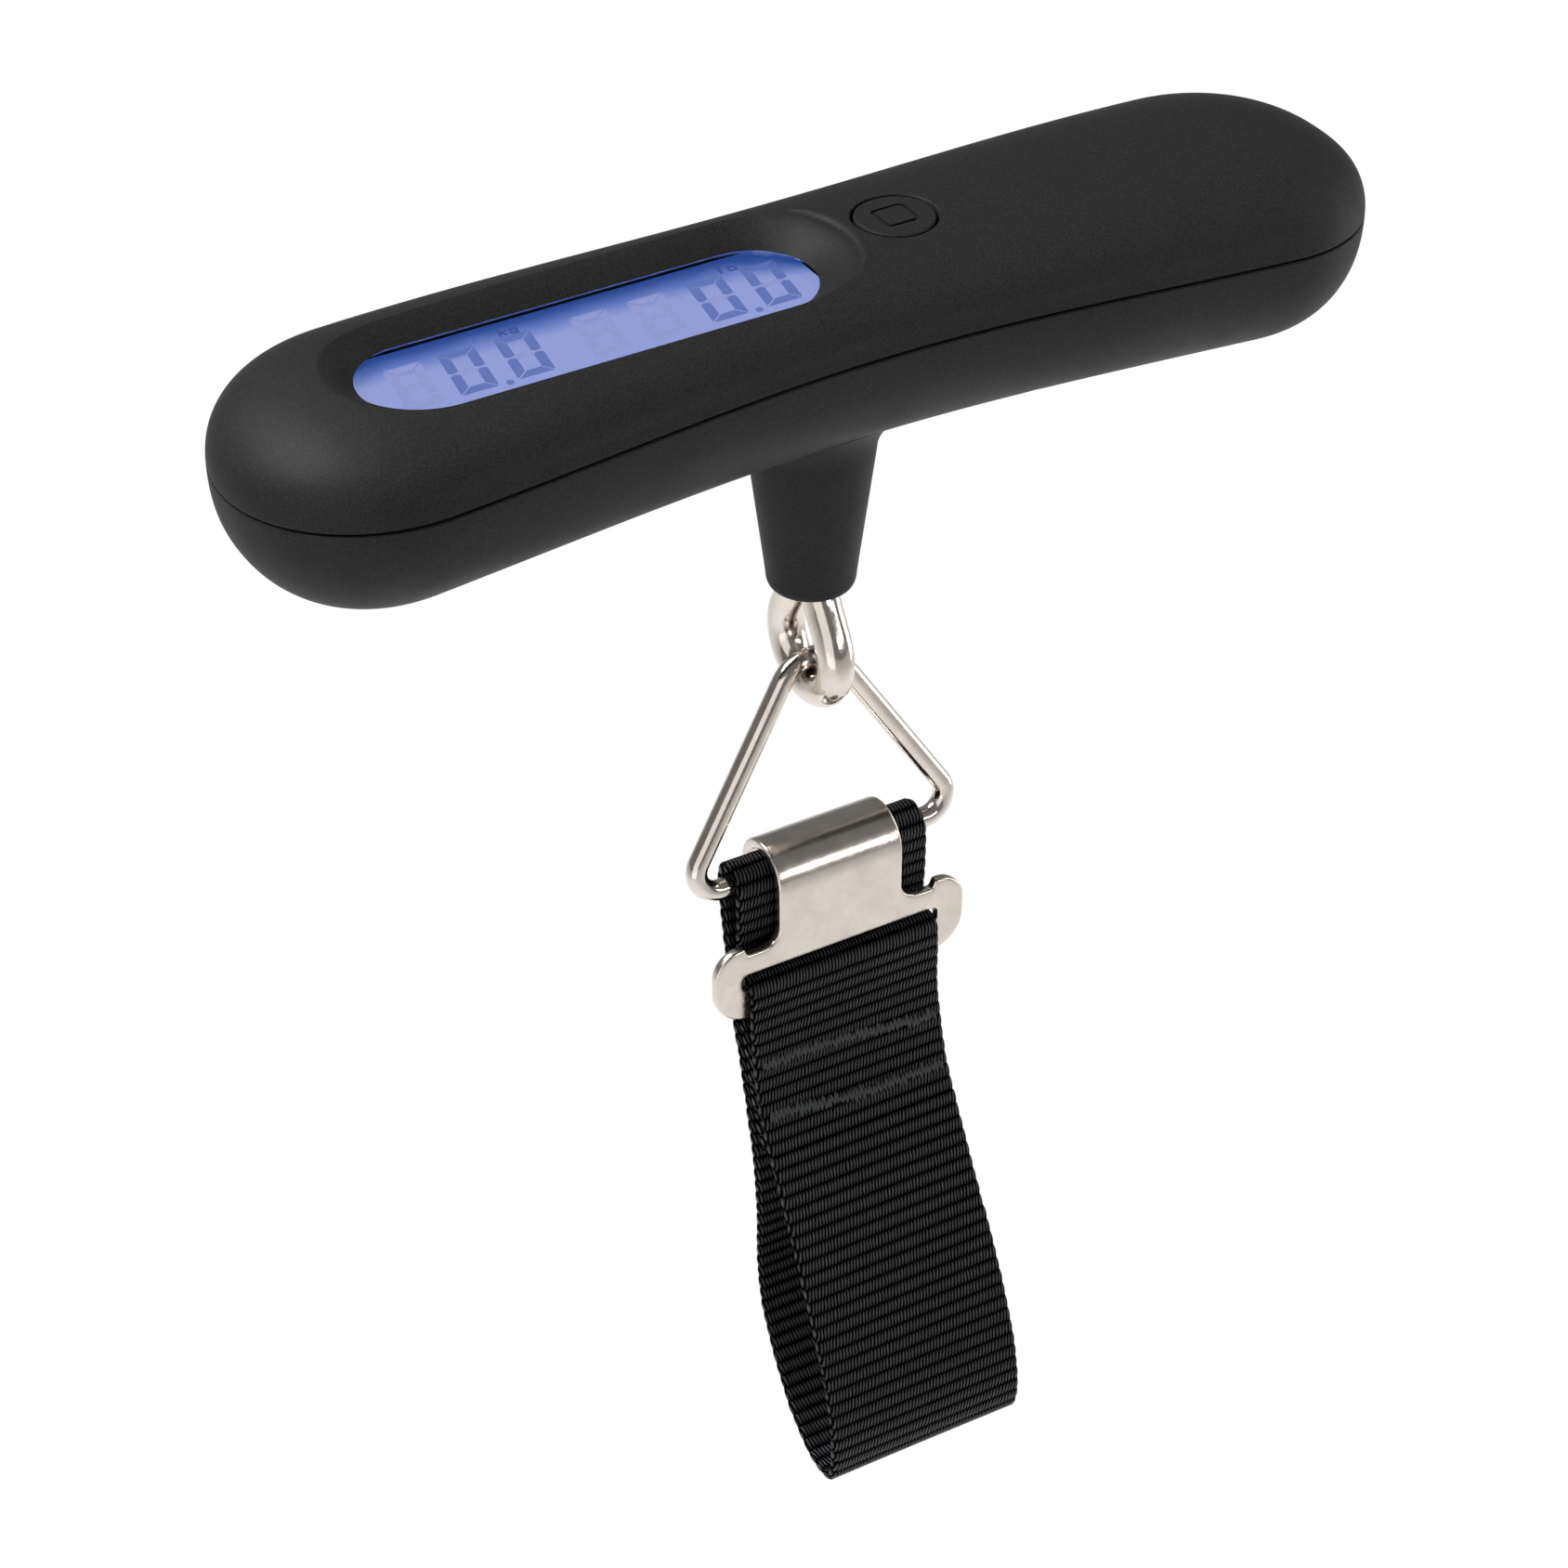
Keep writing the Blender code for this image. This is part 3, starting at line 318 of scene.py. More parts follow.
def display_glow():
    """The lit panel: lavender blue, with painted shade that deepens it towards the back edge and the
    right-hand end, and in a thin band at the front edge.
    """
    look = Look("lcd_backlit", (0.02, 0.03, 0.10), 0.3)
    spot = look.node("ShaderNodeSeparateXYZ")
    look.link(look.place(), spot, "Vector")
    # depth runs from 0 at the front edge to 1 at the back edge; the ramp below turns both edges into painted
    # shade.
    depth = look.math("DIVIDE", look.plus(spot.outputs["Y"], 7.0), 14.0)
    # Painted shade at the right-hand end: past x = -6 mm the blue deepens further towards the back.
    reach = look.times(look.math("MAXIMUM", look.plus(spot.outputs["X"], 6.0), 0.0), 0.055)
    haze = look.drift(look.noise(0.25, 2.0), 0.10)
    speckle = look.drift(look.noise(3.5, 2.0, 0.6), 0.12)
    edge_shade_and_haze = look.plus(look.plus(depth, look.times(reach, depth)), look.plus(haze, speckle))
    # Painted shade: deep blue at the front edge (0.0) and from 0.7 up towards the back edge, lavender
    # between.
    look.vary(
        "Emission Color",
        edge_shade_and_haze,
        (0.0, (0.080, 0.160, 0.560)),
        (0.05, (0.290, 0.335, 0.620)),
        (0.70, (0.290, 0.340, 0.615)),
        (0.88, (0.100, 0.170, 0.450)),
        (1.0, (0.022, 0.070, 0.310)),
    )
    look.set("Emission Strength", 1.0)
    return look.material


def lit_ink(name, colour):
    """An LCD segment: it lets a little of the backlight through."""
    look = Look(name, (0.01, 0.012, 0.03), 0.35)
    brighter = tuple(level * 1.15 for level in colour)
    look.vary("Emission Color", look.noise(2.5, 2.0), (0.3, colour), (0.7, brighter))
    look.set("Emission Strength", 1.0)
    return look.material


def lens():
    look = Look("clear_lens", (0.93, 0.95, 1.0), 0.03, Transmission_Weight=1.0, IOR=1.35)
    look.bump((look.noise(0.15, 2.0), 0.05, 0.02))
    look.vary("Roughness", look.noise(0.4, 3.0), (0.4, 0.02), (0.7, 0.06))
    return look.material


def circuit_green():
    look = Look("board_green", (0.02, 0.12, 0.05), 0.4)
    tracks = look.node("ShaderNodeTexVoronoi", feature="DISTANCE_TO_EDGE")
    tracks.inputs["Scale"].default_value = 0.35
    look.link(look.place(), tracks, "Vector")
    distance = tracks.outputs["Distance"]
    look.vary("Base Color", distance, (0.02, (0.03, 0.17, 0.07)), (0.06, (0.012, 0.09, 0.04)))
    return look.material


# ---------------------------------------------------------------- meshes


def piece(name, verts, faces, look):
    mesh = bpy.data.meshes.new(name)
    mesh.from_pydata(verts, [], faces)
    mesh.update()
    mesh.materials.append(look)
    obj = bpy.data.objects.new(name, mesh)
    PARTS.objects.link(obj)
    return obj


def dress(obj, body, stands_for, angle=None):
    """Puts a piece on its CAD body, in place of the CAD nodes named, with edges sharp past angle."""
    if angle is not None:
        obj.data.shade_smooth()
        obj.data.set_sharp_from_angle(angle=radians(angle))
    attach(obj, body)
    if stands_for:
        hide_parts(*stands_for)
    return obj


def face_outward(obj, weld=1e-7):
    shape = bmesh.new()
    shape.from_mesh(obj.data)
    bmesh.ops.remove_doubles(shape, verts=shape.verts, dist=weld)
    bmesh.ops.recalc_face_normals(shape, faces=shape.faces)
    shape.to_mesh(obj.data)
    shape.free()
    return obj


def combine(obj, steps):
    """Applies Booleans of (other, operation), in order, and removes the other objects."""
    for other, operation in steps:
        modifier = obj.modifiers.new(other.name, "BOOLEAN")
        modifier.operation = operation
        modifier.solver = "MANIFOLD"
        modifier.object = other
    bpy.context.view_layer.update()
    graph = bpy.context.evaluated_depsgraph_get()
    mesh = bpy.data.meshes.new_from_object(obj.evaluated_get(graph))
    obj.modifiers.clear()
    old, obj.data = obj.data, mesh
    bpy.data.meshes.remove(old)
    for other, _ in steps:
        bpy.data.objects.remove(other, do_unlink=True)
    if not obj.data.polygons:
        raise RuntimeError(f"{obj.name}: nothing is left of it")
    return obj


def bands(starts, size):
    """Quads between neighbouring rings of size points, given the number of each ring's first point."""
    return [
        (a + j, a + (j + 1) % size, b + (j + 1) % size, b + j)
        for a, b in zip(starts, starts[1:])
        for j in range(size)
    ]


def loft(name, rings, look, closed=False):
    """A skin over equal rings of points. closed joins the last ring to the first; other ends are capped."""
    size = len(rings[0])
    starts = [i * size for i in range(len(rings))]
    if closed:
        faces = bands([*starts, 0], size)
    else:
        faces = bands(starts, size)
        faces += [tuple(range(size))[::-1], tuple(range(starts[-1], starts[-1] + size))]
    return face_outward(piece(name, [point for ring in rings for point in ring], faces, look))


def lathe(name, profile, look, centre=(0, 0), steps=96, stretch=0.0):
    """A solid turned from an open (radius, z) profile that starts and ends on the axis, drawn out along X."""
    rings = []
    turns = [2 * pi * (s + 0.5) / steps for s in range(steps)]
    for radius, z in profile[1:-1]:
        ring = []
        for turn in turns:
            shift = stretch * (1 if cos(turn) > 0 else -1)
            ring.append((centre[0] + shift + radius * cos(turn), centre[1] + radius * sin(turn), z))
        rings.append(ring)
    return loft(name, rings, look)


def arc(centre, radius, start, end, steps):
    angles = [radians(start + (end - start) * step / steps) for step in range(steps + 1)]
    return [(centre[0] + radius * cos(a), centre[1] + radius * sin(a)) for a in angles]


def rounded(corners, steps=8):
    """A closed outline through corners (u, v, radius), each rounded by its own radius."""
    points = []
    count = len(corners)
    for index, (u, v, radius) in enumerate(corners):
        here = Vector((u, v))
        before = (Vector(corners[index - 1][:2]) - here).normalized()
        after = (Vector(corners[(index + 1) % count][:2]) - here).normalized()
        if radius <= 0:
            points.append((u, v))
            continue
        half = before.angle(after) / 2
        centre = here + (before + after).normalized() * (radius / sin(half))
        first = here + before * (radius * cos(half) / sin(half)) - centre
        last = here + after * (radius * cos(half) / sin(half)) - centre
        turn = atan2(first.x * last.y - first.y * last.x, first.dot(last))
        for step in range(steps + 1):
            points.append(tuple(centre + Matrix.Rotation(turn * step / steps, 2) @ first))
    return points


def box_outline(u, v, radius=0.0, steps=6):
    corners = [(u[0], v[0]), (u[1], v[0]), (u[1], v[1]), (u[0], v[1])]
    return rounded([(*corner, radius) for corner in corners], steps)


def circle(centre, radius, steps=64):
    return arc(centre, radius, 0, 360, steps)[:-1]


def prism(name, outline, low, high, look, at=None):
    """A flat solid between two levels. at turns (u, v, level) into a place; it is upright when left out."""
    at = at or (lambda u, v, w: (u, v, w))
    rings = [[at(u, v, w) for u, v in outline] for w in (low, high)]
    return loft(name, rings, look)


def heading(degrees):
    return Vector((cos(radians(degrees)), sin(radians(degrees))))


def smooth_path(knots, steps=24):
    """Points on a smooth curve through knots (u, v, heading in degrees)."""
    points = []
    for (u0, v0, turn0), (u1, v1, turn1) in zip(knots, knots[1:]):
        start, end = Vector((u0, v0)), Vector((u1, v1))
        reach = (end - start).length / 3
        first = start + heading(turn0) * reach
        second = end - heading(turn1) * reach
        run = interpolate_bezier(start.to_3d(), first.to_3d(), second.to_3d(), end.to_3d(), steps + 1)
        points += [(p.x, p.y) for p in run[:-1]]
    return [*points, (run[-1].x, run[-1].y)]


def resampled(outline, spacing):
    """The closed outline with its long edges divided."""
    points = []
    for (u0, v0), (u1, v1) in zip(outline, outline[1:] + outline[:1]):
        parts = max(int(hypot(u1 - u0, v1 - v0) / spacing), 1)
        points += [(u0 + (u1 - u0) * s / parts, v0 + (v1 - v0) * s / parts) for s in range(parts)]
    return points


def wire(name, route, radius, look, sides=40, closed=True, dent=None):
    """A round wire along a dense route of 3-D points. dent(index, angle) gives how deep the skin sinks."""
    count = len(route)
    points = [Vector(p) for p in route]
    tangents = []
    for i in range(count):
        before = points[i - 1] if closed or i else points[0]
        after = points[(i + 1) % count] if closed or i < count - 1 else points[-1]
        tangents.append((after - before).normalized())
    plane = Vector((0, 0, 0))
    for a, b in zip(tangents, tangents[1:]):
        plane += a.cross(b)
    side = plane.normalized()
    rings = []
    for i, (point, tangent) in enumerate(zip(points, tangents)):
        outward = tangent.cross(side).normalized()
        ring = []
        for s in range(sides):
            turn = 2 * pi * s / sides
            size = radius - (dent(i, turn) if dent else 0.0)
            ring.append(tuple(point + (side * cos(turn) + outward * sin(turn)) * size))
        rings.append(ring)
    return loft(name, rings, look, closed=closed)


# ---------------------------------------------------------------- the handle


def parting_height(x):
    return -PARTING_SAG * (x / HANDLE_HALF_LENGTH) ** 2


def section(x, inset):
    """Half width, height above the parting line and depth below it, at x, of the handle or an inset of it."""
    middle = HANDLE_HALF_LENGTH - END_RADIUS
    swell = 0.5 - 0.5 * cos(pi * min(abs(x) / middle, 1.0))
    half_width = WAIST_HALF_WIDTH + (END_HALF_WIDTH - WAIST_HALF_WIDTH) * swell - inset
    past = min(max((abs(x) - middle) / (END_RADIUS - inset), 0.0), 1.0)
    level = parting_height(x)
    crown = CROWN - CROWN_FALL * (x / HANDLE_HALF_LENGTH) ** 2
    belly = -BELLY - BELLY_FALL * (x / HANDLE_HALF_LENGTH) ** 2
    rise = (crown - level - inset) * (1 - past**CROWN_POWER) ** (1 / CROWN_POWER)
    depth = (level - belly - inset) * (1 - past**BELLY_POWER) ** (1 / BELLY_POWER)
    return half_width * (1 - past**2) ** 0.5, rise, depth


def crown_at(x, y):
    half_width, rise, _ = section(x, 0.0)
    return parting_height(x) + rise * max(1 - (abs(y) / half_width) ** CROWN_POWER, 0.0) ** (1 / CROWN_POWER)


def belly_at(x, y):
    half_width, _, depth = section(x, 0.0)
    share = min(abs(y) / half_width, 1.0)
    return parting_height(x) - depth * (1 - share**BELLY_POWER) ** (1 / BELLY_POWER)


def half_ring(x, inset, upper, steps, rounding):
    """One shell's section from its +Y edge to its -Y edge, with the edge rounded where rounding is given."""
    half_width, rise, depth = section(x, inset)
    power, height, way = (CROWN_POWER, rise, 1) if upper else (BELLY_POWER, depth, -1)
    edge = min(GAP / 2 + rounding, 0.6 * height)
    first = asin(min(edge / height, 1.0) ** (power / 2))
    points = []
    for turn in (0, 25, 50, 72) if rounding else ():
        short = 1 - sin(radians(turn))
        drop = edge - min(rounding, 0.6 * edge) * short
        width = half_width * (1 - min(drop / height, 1.0) ** power) ** (1 / power)
        points.append((max(width - rounding * short * min(1.0, half_width / MM), 0.1 * width), drop))
    for step in range(steps + 1):
        turn = first + (pi / 2 - first) * step / steps
        width = half_width * cos(turn) ** (2 / power) if step < steps else 0.0
        points.append((width, height * sin(turn) ** (2 / power)))
    level = parting_height(x)
    right = [(x, y, level + way * z) for y, z in points]
    left = [(x, -y, z) for x, y, z in right[:-1]][::-1]
    return right + left


def stations(inset, count):
    """Where the sections lie along X: evenly at the waist, closer together towards the round ends."""
    waist_share = 0.5
    furthest = 0.9992  # the last section stops just short of the tip, where it would be a point
    middle = HANDLE_HALF_LENGTH - END_RADIUS
    found = []
    for step in range(count + 1):
        along = -1 + 2 * step / count
        if abs(along) <= waist_share:
            found.append(middle * along / waist_share)
            continue
        past = sin((abs(along) - waist_share) / (1 - waist_share) * pi / 2)
        x = middle + (END_RADIUS - inset) * min(past, furthest)
        found.append(x if along > 0 else -x)
    return found


def half_shell(name, upper, look):
    """One half of the housing as a closed shell with a wall."""
    count = 176
    outside = [half_ring(x, 0.0, upper, 44, EDGE_ROUND) for x in stations(0.0, count)]
    inside = [half_ring(x, WALL, upper, 14, 0.0) for x in stations(WALL, count)]
    outer_size = len(outside[0])
    size = outer_size + len(inside[0])
    verts = []
    for outer, inner in zip(outside, inside):
        verts += outer + inner[::-1]
    starts = [i * size for i in range(count + 1)]
    faces = bands(starts, size)
    for a in (starts[0], starts[-1]):
        faces.append(tuple(range(a, a + outer_size)))
        faces.append(tuple(range(a + outer_size, a + size)))
        faces.append((a, a + outer_size - 1, a + outer_size, a + size - 1))
    return face_outward(piece(name, verts, faces, look))


def recess_profile():
    """The display recess: a shallow dish that rises from the window's edge and rolls over at its rim."""
    dish = [
        (DISPLAY_HALF_WIDTH + DISH_WIDTH * share, DISPLAY_LEVEL + DISH_RISE * (1 - (1 - share) ** 1.7))
        for share in np.linspace(0, 1, 19)
    ]
    edge = DISPLAY_HALF_WIDTH + DISH_WIDTH
    rim = DISPLAY_LEVEL + DISH_RISE
    return [
        (0, DISPLAY_LEVEL - 1.5 * MM),
        (DISPLAY_HALF_WIDTH, DISPLAY_LEVEL - 1.5 * MM),
        *dish,
        (edge + 0.3 * MM, rim + 0.12 * MM),
        (edge + 0.6 * MM, rim + 0.40 * MM),
        (edge + 0.8 * MM, rim + 0.80 * MM),
        (edge + 1.0 * MM, rim + 2.4 * MM),
        (0, rim + 2.4 * MM),
    ]


def stadium(half_length, half_width, steps=24):
    reach = half_length - half_width
    right = arc((DISPLAY_X + reach, 0), half_width, -90, 90, steps)
    left = arc((DISPLAY_X - reach, 0), half_width, 90, 270, steps)
    return right + left


def upper_shell(look):
    shell = half_shell("upper_housing", True, look)
    margin = 2.2 * MM
    edge = stadium(DISPLAY_HALF_LENGTH + margin, DISPLAY_HALF_WIDTH + margin)
    skirt = prism("skirt", edge, DISPLAY_LEVEL, DISPLAY_LEVEL + 1.7 * MM, look)
    reach = DISPLAY_HALF_LENGTH - DISPLAY_HALF_WIDTH
    recess = lathe("recess", recess_profile(), look, (DISPLAY_X, 0), 128, reach)
    top = crown_at(BUTTON_X, 0)
    above = 12 * MM
    chamfer = 0.22 * MM
    hole = [
        (0, 0),
        (BUTTON_HOLE_RADIUS, 0),
        (BUTTON_HOLE_RADIUS, top - 1.6 * chamfer),
        (BUTTON_HOLE_RADIUS + 0.4 * chamfer, top - 0.6 * chamfer),
        (BUTTON_HOLE_RADIUS + 1.6 * chamfer, top + 0.4 * chamfer),
        (BUTTON_HOLE_RADIUS + 1.6 * chamfer, above),
        (0, above),
    ]
    opening = lathe("opening", hole, look, (BUTTON_X, 0), 96)
    combine(shell, [(skirt, "UNION"), (recess, "DIFFERENCE"), (opening, "DIFFERENCE")])
    return dress(shell, "handle", ["upper_shell"], 32)


def neck_radius(z):
    return NECK_TOP_RADIUS + NECK_TAPER * (z + BELLY)


def neck(look):
    """The tapered neck: it flares into the belly, follows the belly's hollow, and is rounded at its foot."""
    fillet = 1.8 * MM
    top = -BELLY - 0.1 * MM
    flare = []
    for a in range(6, 91, 7):
        z = top - 1.3 * fillet * (1 - cos(radians(a)))
        flare.append((neck_radius(z) + fillet * (1 - sin(radians(a))), z))
    foot_z = NECK_BOTTOM + NECK_ROUNDING
    edge = neck_radius(foot_z)
    inner = edge - 0.36 * NECK_ROUNDING
    foot = [
        (inner + (edge - inner) * cos(radians(a)), foot_z - NECK_ROUNDING * sin(radians(a)))
        for a in range(0, 91, 9)
    ]
    root = top + 1.2 * MM
    straight = [(neck_radius(z), z) for z in np.linspace(flare[-1][1], foot_z, 14)[1:-1]]
    profile = [(0, root), (flare[0][0], root), *flare, *straight, *foot, (0, NECK_BOTTOM)]
    obj = lathe("neck", profile, look, steps=112)
    blend = 3 * MM
    for vert in obj.data.vertices:
        share = min(max((vert.co.z - top + blend) / blend, 0.0), 1.0)
        vert.co.z += share * (belly_at(0, vert.co.y) + BELLY)
    return obj


def door_outline(gap):
    half_x, half_y = DOOR_HALF_SIZE[0] - gap, DOOR_HALF_SIZE[1] - gap
    return box_outline((BATTERY_X - half_x, BATTERY_X + half_x), (-half_y, half_y), DOOR_CORNER - gap, 10)


def lower_shell(look):
    shell = half_shell("lower_housing", False, look)
    wide, below = 5.2 * MM, -38 * MM
    bore = [
        (0, -7 * MM),
        (wide, -7 * MM),
        (wide, -17 * MM),
        (BORE_RADIUS, -26 * MM),
        (BORE_RADIUS, below),
        (0, below),
    ]
    steps = [
        (neck(look), "UNION"),
        (lathe("bore", bore, look, steps=64), "DIFFERENCE"),
        (prism("door_opening", door_outline(0.0), *DOOR_LEVELS, look), "DIFFERENCE"),
    ]
    post_radius = 2.8 * MM
    for spot in HOUSING_SCREWS:
        foot = max(belly_at(*place) for place in circle(spot, post_radius, 12)) + 0.5 * MM
        post = prism("post", circle(spot, post_radius, 32), foot, parting_height(spot[0]) - GAP / 2, look)
        sunk = prism("sunk", circle(spot, 2.2 * MM, 48), -30 * MM, SCREW_SEAT, look)
        through = prism("through", circle(spot, 1.25 * MM, 24), -12 * MM, 2 * MM, look)
        steps += [(post, "UNION"), (sunk, "DIFFERENCE"), (through, "DIFFERENCE")]
    combine(shell, steps)
    return dress(shell, "handle", ["lower_shell"], 32)


def battery_door(look):
    """The hatch: the belly's own wall inside the opening, less a gap, with five fine grip lines."""
    door = half_shell("battery_hatch", False, look)
    steps = [(prism("door_edge", door_outline(GAP), *DOOR_LEVELS, look), "INTERSECT")]
    line = 0.22 * MM
    for number in range(5):
        x = BATTERY_X + DOOR_HALF_SIZE[0] - GAP - (2.2 + 1.1 * number) * MM
        low = belly_at(x, 0)
        groove = box_outline((x - line, x + line), (-4.5 * MM, 4.5 * MM))
        steps.append((prism("grip", groove, low - 2 * MM, low + 0.35 * MM, look), "DIFFERENCE"))
    combine(door, steps)
    return dress(door, "battery_door", ["battery_door"], 32)


def button_cap(look):
    """The cap: a crown-following disc with a rounded edge, a flange below and a rounded square sunk in it."""
    radius, flange = BUTTON_HOLE_RADIUS - GAP, 5.5 * MM
    base, ledge = 3.0 * MM, 4.2 * MM
    soften, tip = 0.25 * MM, 0.02 * MM
    turns = [2 * pi * s / 96 for s in range(96)]

    def ring(size, level=None, below=0.0):
        """A ring round the button's axis, at a level or some way below the handle's crown."""
        places = [(BUTTON_X + size * cos(t), size * sin(t)) for t in turns]
        return [(x, y, crown_at(x, y) - below if level is None else level) for x, y in places]

    rings = [ring(tip, base), ring(flange, base), ring(flange, ledge), ring(radius, ledge)]
    for turn in (0, 22, 45, 67, 90):
        a = radians(turn)
        rings.append(ring(radius - soften * (1 - cos(a)), below=soften * (1 - sin(a))))
    rings += [ring((radius - soften) * share) for share in np.linspace(1, 0, 26)[1:-1]]
    rings.append(ring(tip))
    cap = loft("button_top", rings, look)
    half = BUTTON_ICON_SIZE / 2
    slim = half - 0.42 * MM
    outer = box_outline((BUTTON_X - half, BUTTON_X + half), (-half, half), 0.8 * MM)
    inner = box_outline((BUTTON_X - slim, BUTTON_X + slim), (-slim, slim), 0.4 * MM)
    ground = crown_at(BUTTON_X, 0) - 0.28 * MM
    mark = prism("mark", outer, ground, 12 * MM, look)
    combine(mark, [(prism("island", inner, ground - MM, 13 * MM, look), "DIFFERENCE")])
    combine(cap, [(mark, "DIFFERENCE")])
    return dress(cap, "button", ["button_cap"], 28)


# ---------------------------------------------------------------- the display

SEGMENTS = {
    "a": ((0, 2), (1, 2)),
    "b": ((1, 2), (1, 1)),
    "c": ((1, 1), (1, 0)),
    "d": ((0, 0), (1, 0)),
    "e": ((0, 1), (0, 0)),
    "f": ((0, 2), (0, 1)),
    "g": ((0, 1), (1, 1)),
}
DIGIT_SIZE = (4.15 * MM, 8.2 * MM)
DIGIT_SLANT = 0.15
DIGIT_FOOT = -3.25 * MM
UNIT_FOOT = 5.25 * MM


def segment_outline(name):
    """A pointed bar between two corners of the digit's own 1 by 2 grid, in metres before the slant."""
    (u0, v0), (u1, v1) = SEGMENTS[name]
    width, height = DIGIT_SIZE
    start, end = Vector((u0 * width, v0 * height / 2)), Vector((u1 * width, v1 * height / 2))
    along = (end - start).normalized()
    across = Vector((-along.y, along.x))
    full = 1.12 * MM
    half = full / 2
    spare = 0.15 * MM
    centre = Vector((width / 2, height / 2))
    inward = across if (centre - start).dot(across) > 0 else -across
    start, end = start + along * spare, end - along * spare
    if name == "g":
        rise = across * half
        tip = along * half
        return [start, start + tip + rise, end - tip + rise, end, end - tip - rise, start + tip - rise]
    if name in "ad":
        return [start, end, end + (inward - along) * full, start + (inward + along) * full]
    outer, inner = (start, end) if abs(start.y - height / 2) > abs(end.y - height / 2) else (end, start)
    step = along if outer == start else -along
    tip = step * 0.25 * MM
    return [
        outer,
        inner - tip,
        inner + inward * half,
        inner + inward * full - tip,
        outer + (inward + step) * full,
    ]


def digit(x, names):
    """Outlines of the named segments of the digit whose lower left corner is at x."""
    outlines = []
    for name in names:
        outlines.append([(x + p.x + DIGIT_SLANT * p.y, DIGIT_FOOT + p.y) for p in segment_outline(name)])
    return outlines


def flat_marks(name, outlines, level, thickness, look):
    """Thin flat marks on the panel, all in one mesh."""
    verts, faces = [], []
    for outline in outlines:
        base, size = len(verts), len(outline)
        turn = sum(a[0] * b[1] - a[1] * b[0] for a, b in zip(outline, outline[1:] + outline[:1]))
        ordered = outline if turn > 0 else outline[::-1]
        verts += [(u, v, level) for u, v in ordered] + [(u, v, level + thickness) for u, v in ordered]
        faces.append(tuple(range(base, base + size))[::-1])
        faces.append(tuple(range(base + size, base + 2 * size)))
        faces += bands([base, base + size], size)
    return dress(piece(name, verts, faces, look), "handle", ())


def stroke(points, width):
    """A polyline of even width as separate bars."""
    bars = []
    for start, end in zip(points, points[1:]):
        start, end = Vector(start), Vector(end)
        along = (end - start).normalized()
        side = Vector((-along.y, along.x)) * width / 2
        reach = along * width * 0.3
        corners = (start - reach - side, end + reach - side, end + reach + side, start - reach + side)
        bars.append([tuple(corner) for corner in corners])
    return bars


def unit_marks(left, letters):
    """Small unit letters, each drawn as strokes on a 1 by 2 grid."""
    shapes = {
        "k": [[(0, 2), (0, 0)], [(1, 1.3), (0, 0.6)], [(0.35, 0.9), (1, 0)]],
        "g": [[(1, 1.3), (0.1, 1.3), (0, 0.2), (1, 0.2)], [(1, 1.4), (1, -0.5), (0.1, -0.5)]],
        "l": [[(0.3, 2), (0.3, 0)]],
        "b": [[(0, 2), (0, 0), (1, 0), (1, 1.2), (0, 1.2)]],
    }
    size, bars = 0.62 * MM, []
    for index, letter in enumerate(letters):
        for line in shapes[letter]:
            points = []
            for u, v in line:
                x = left + (u * 1.2 + index * 2.0 + DIGIT_SLANT * v) * size
                points.append((x, UNIT_FOOT + v * size))
            bars += stroke(points, 0.24 * MM)
    return bars


def display():
    """Two readouts of 0.0, their units, and the faint segments that aren't lit."""
    panel_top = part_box("lcd_glass")[1].z
    lit, ghost = [], []
    for x in (-42.35, -36.0, -13.6, -7.2):
        lit += digit(x * MM, "abcdef")
        ghost += digit(x * MM, "g")
    for x in (-48.4, -27.3, -20.6):
        ghost += digit(x * MM, "abcdefg")
    for x in (-37.0, -8.25):
        lit.append(circle((x * MM, DIGIT_FOOT - 0.05 * MM), 0.42 * MM, 16))
    units = unit_marks(-33.7 * MM, "kg") + unit_marks(-8.1 * MM, "lb")
    level, thickness = panel_top + 0.03 * MM, 0.06 * MM
    ghost_ink = lit_ink("lcd_ghost_ink", (0.272, 0.308, 0.585))
    flat_marks("lcd_digits", lit, level, thickness, lit_ink("lcd_ink", (0.095, 0.150, 0.415)))
    flat_marks("lcd_ghost_segments", ghost, panel_top + 0.02 * MM, 0.03 * MM, ghost_ink)
    flat_marks("lcd_units", units, level, thickness, lit_ink("lcd_unit_ink", (0.035, 0.065, 0.26)))


# ---------------------------------------------------------------- the hanging metal


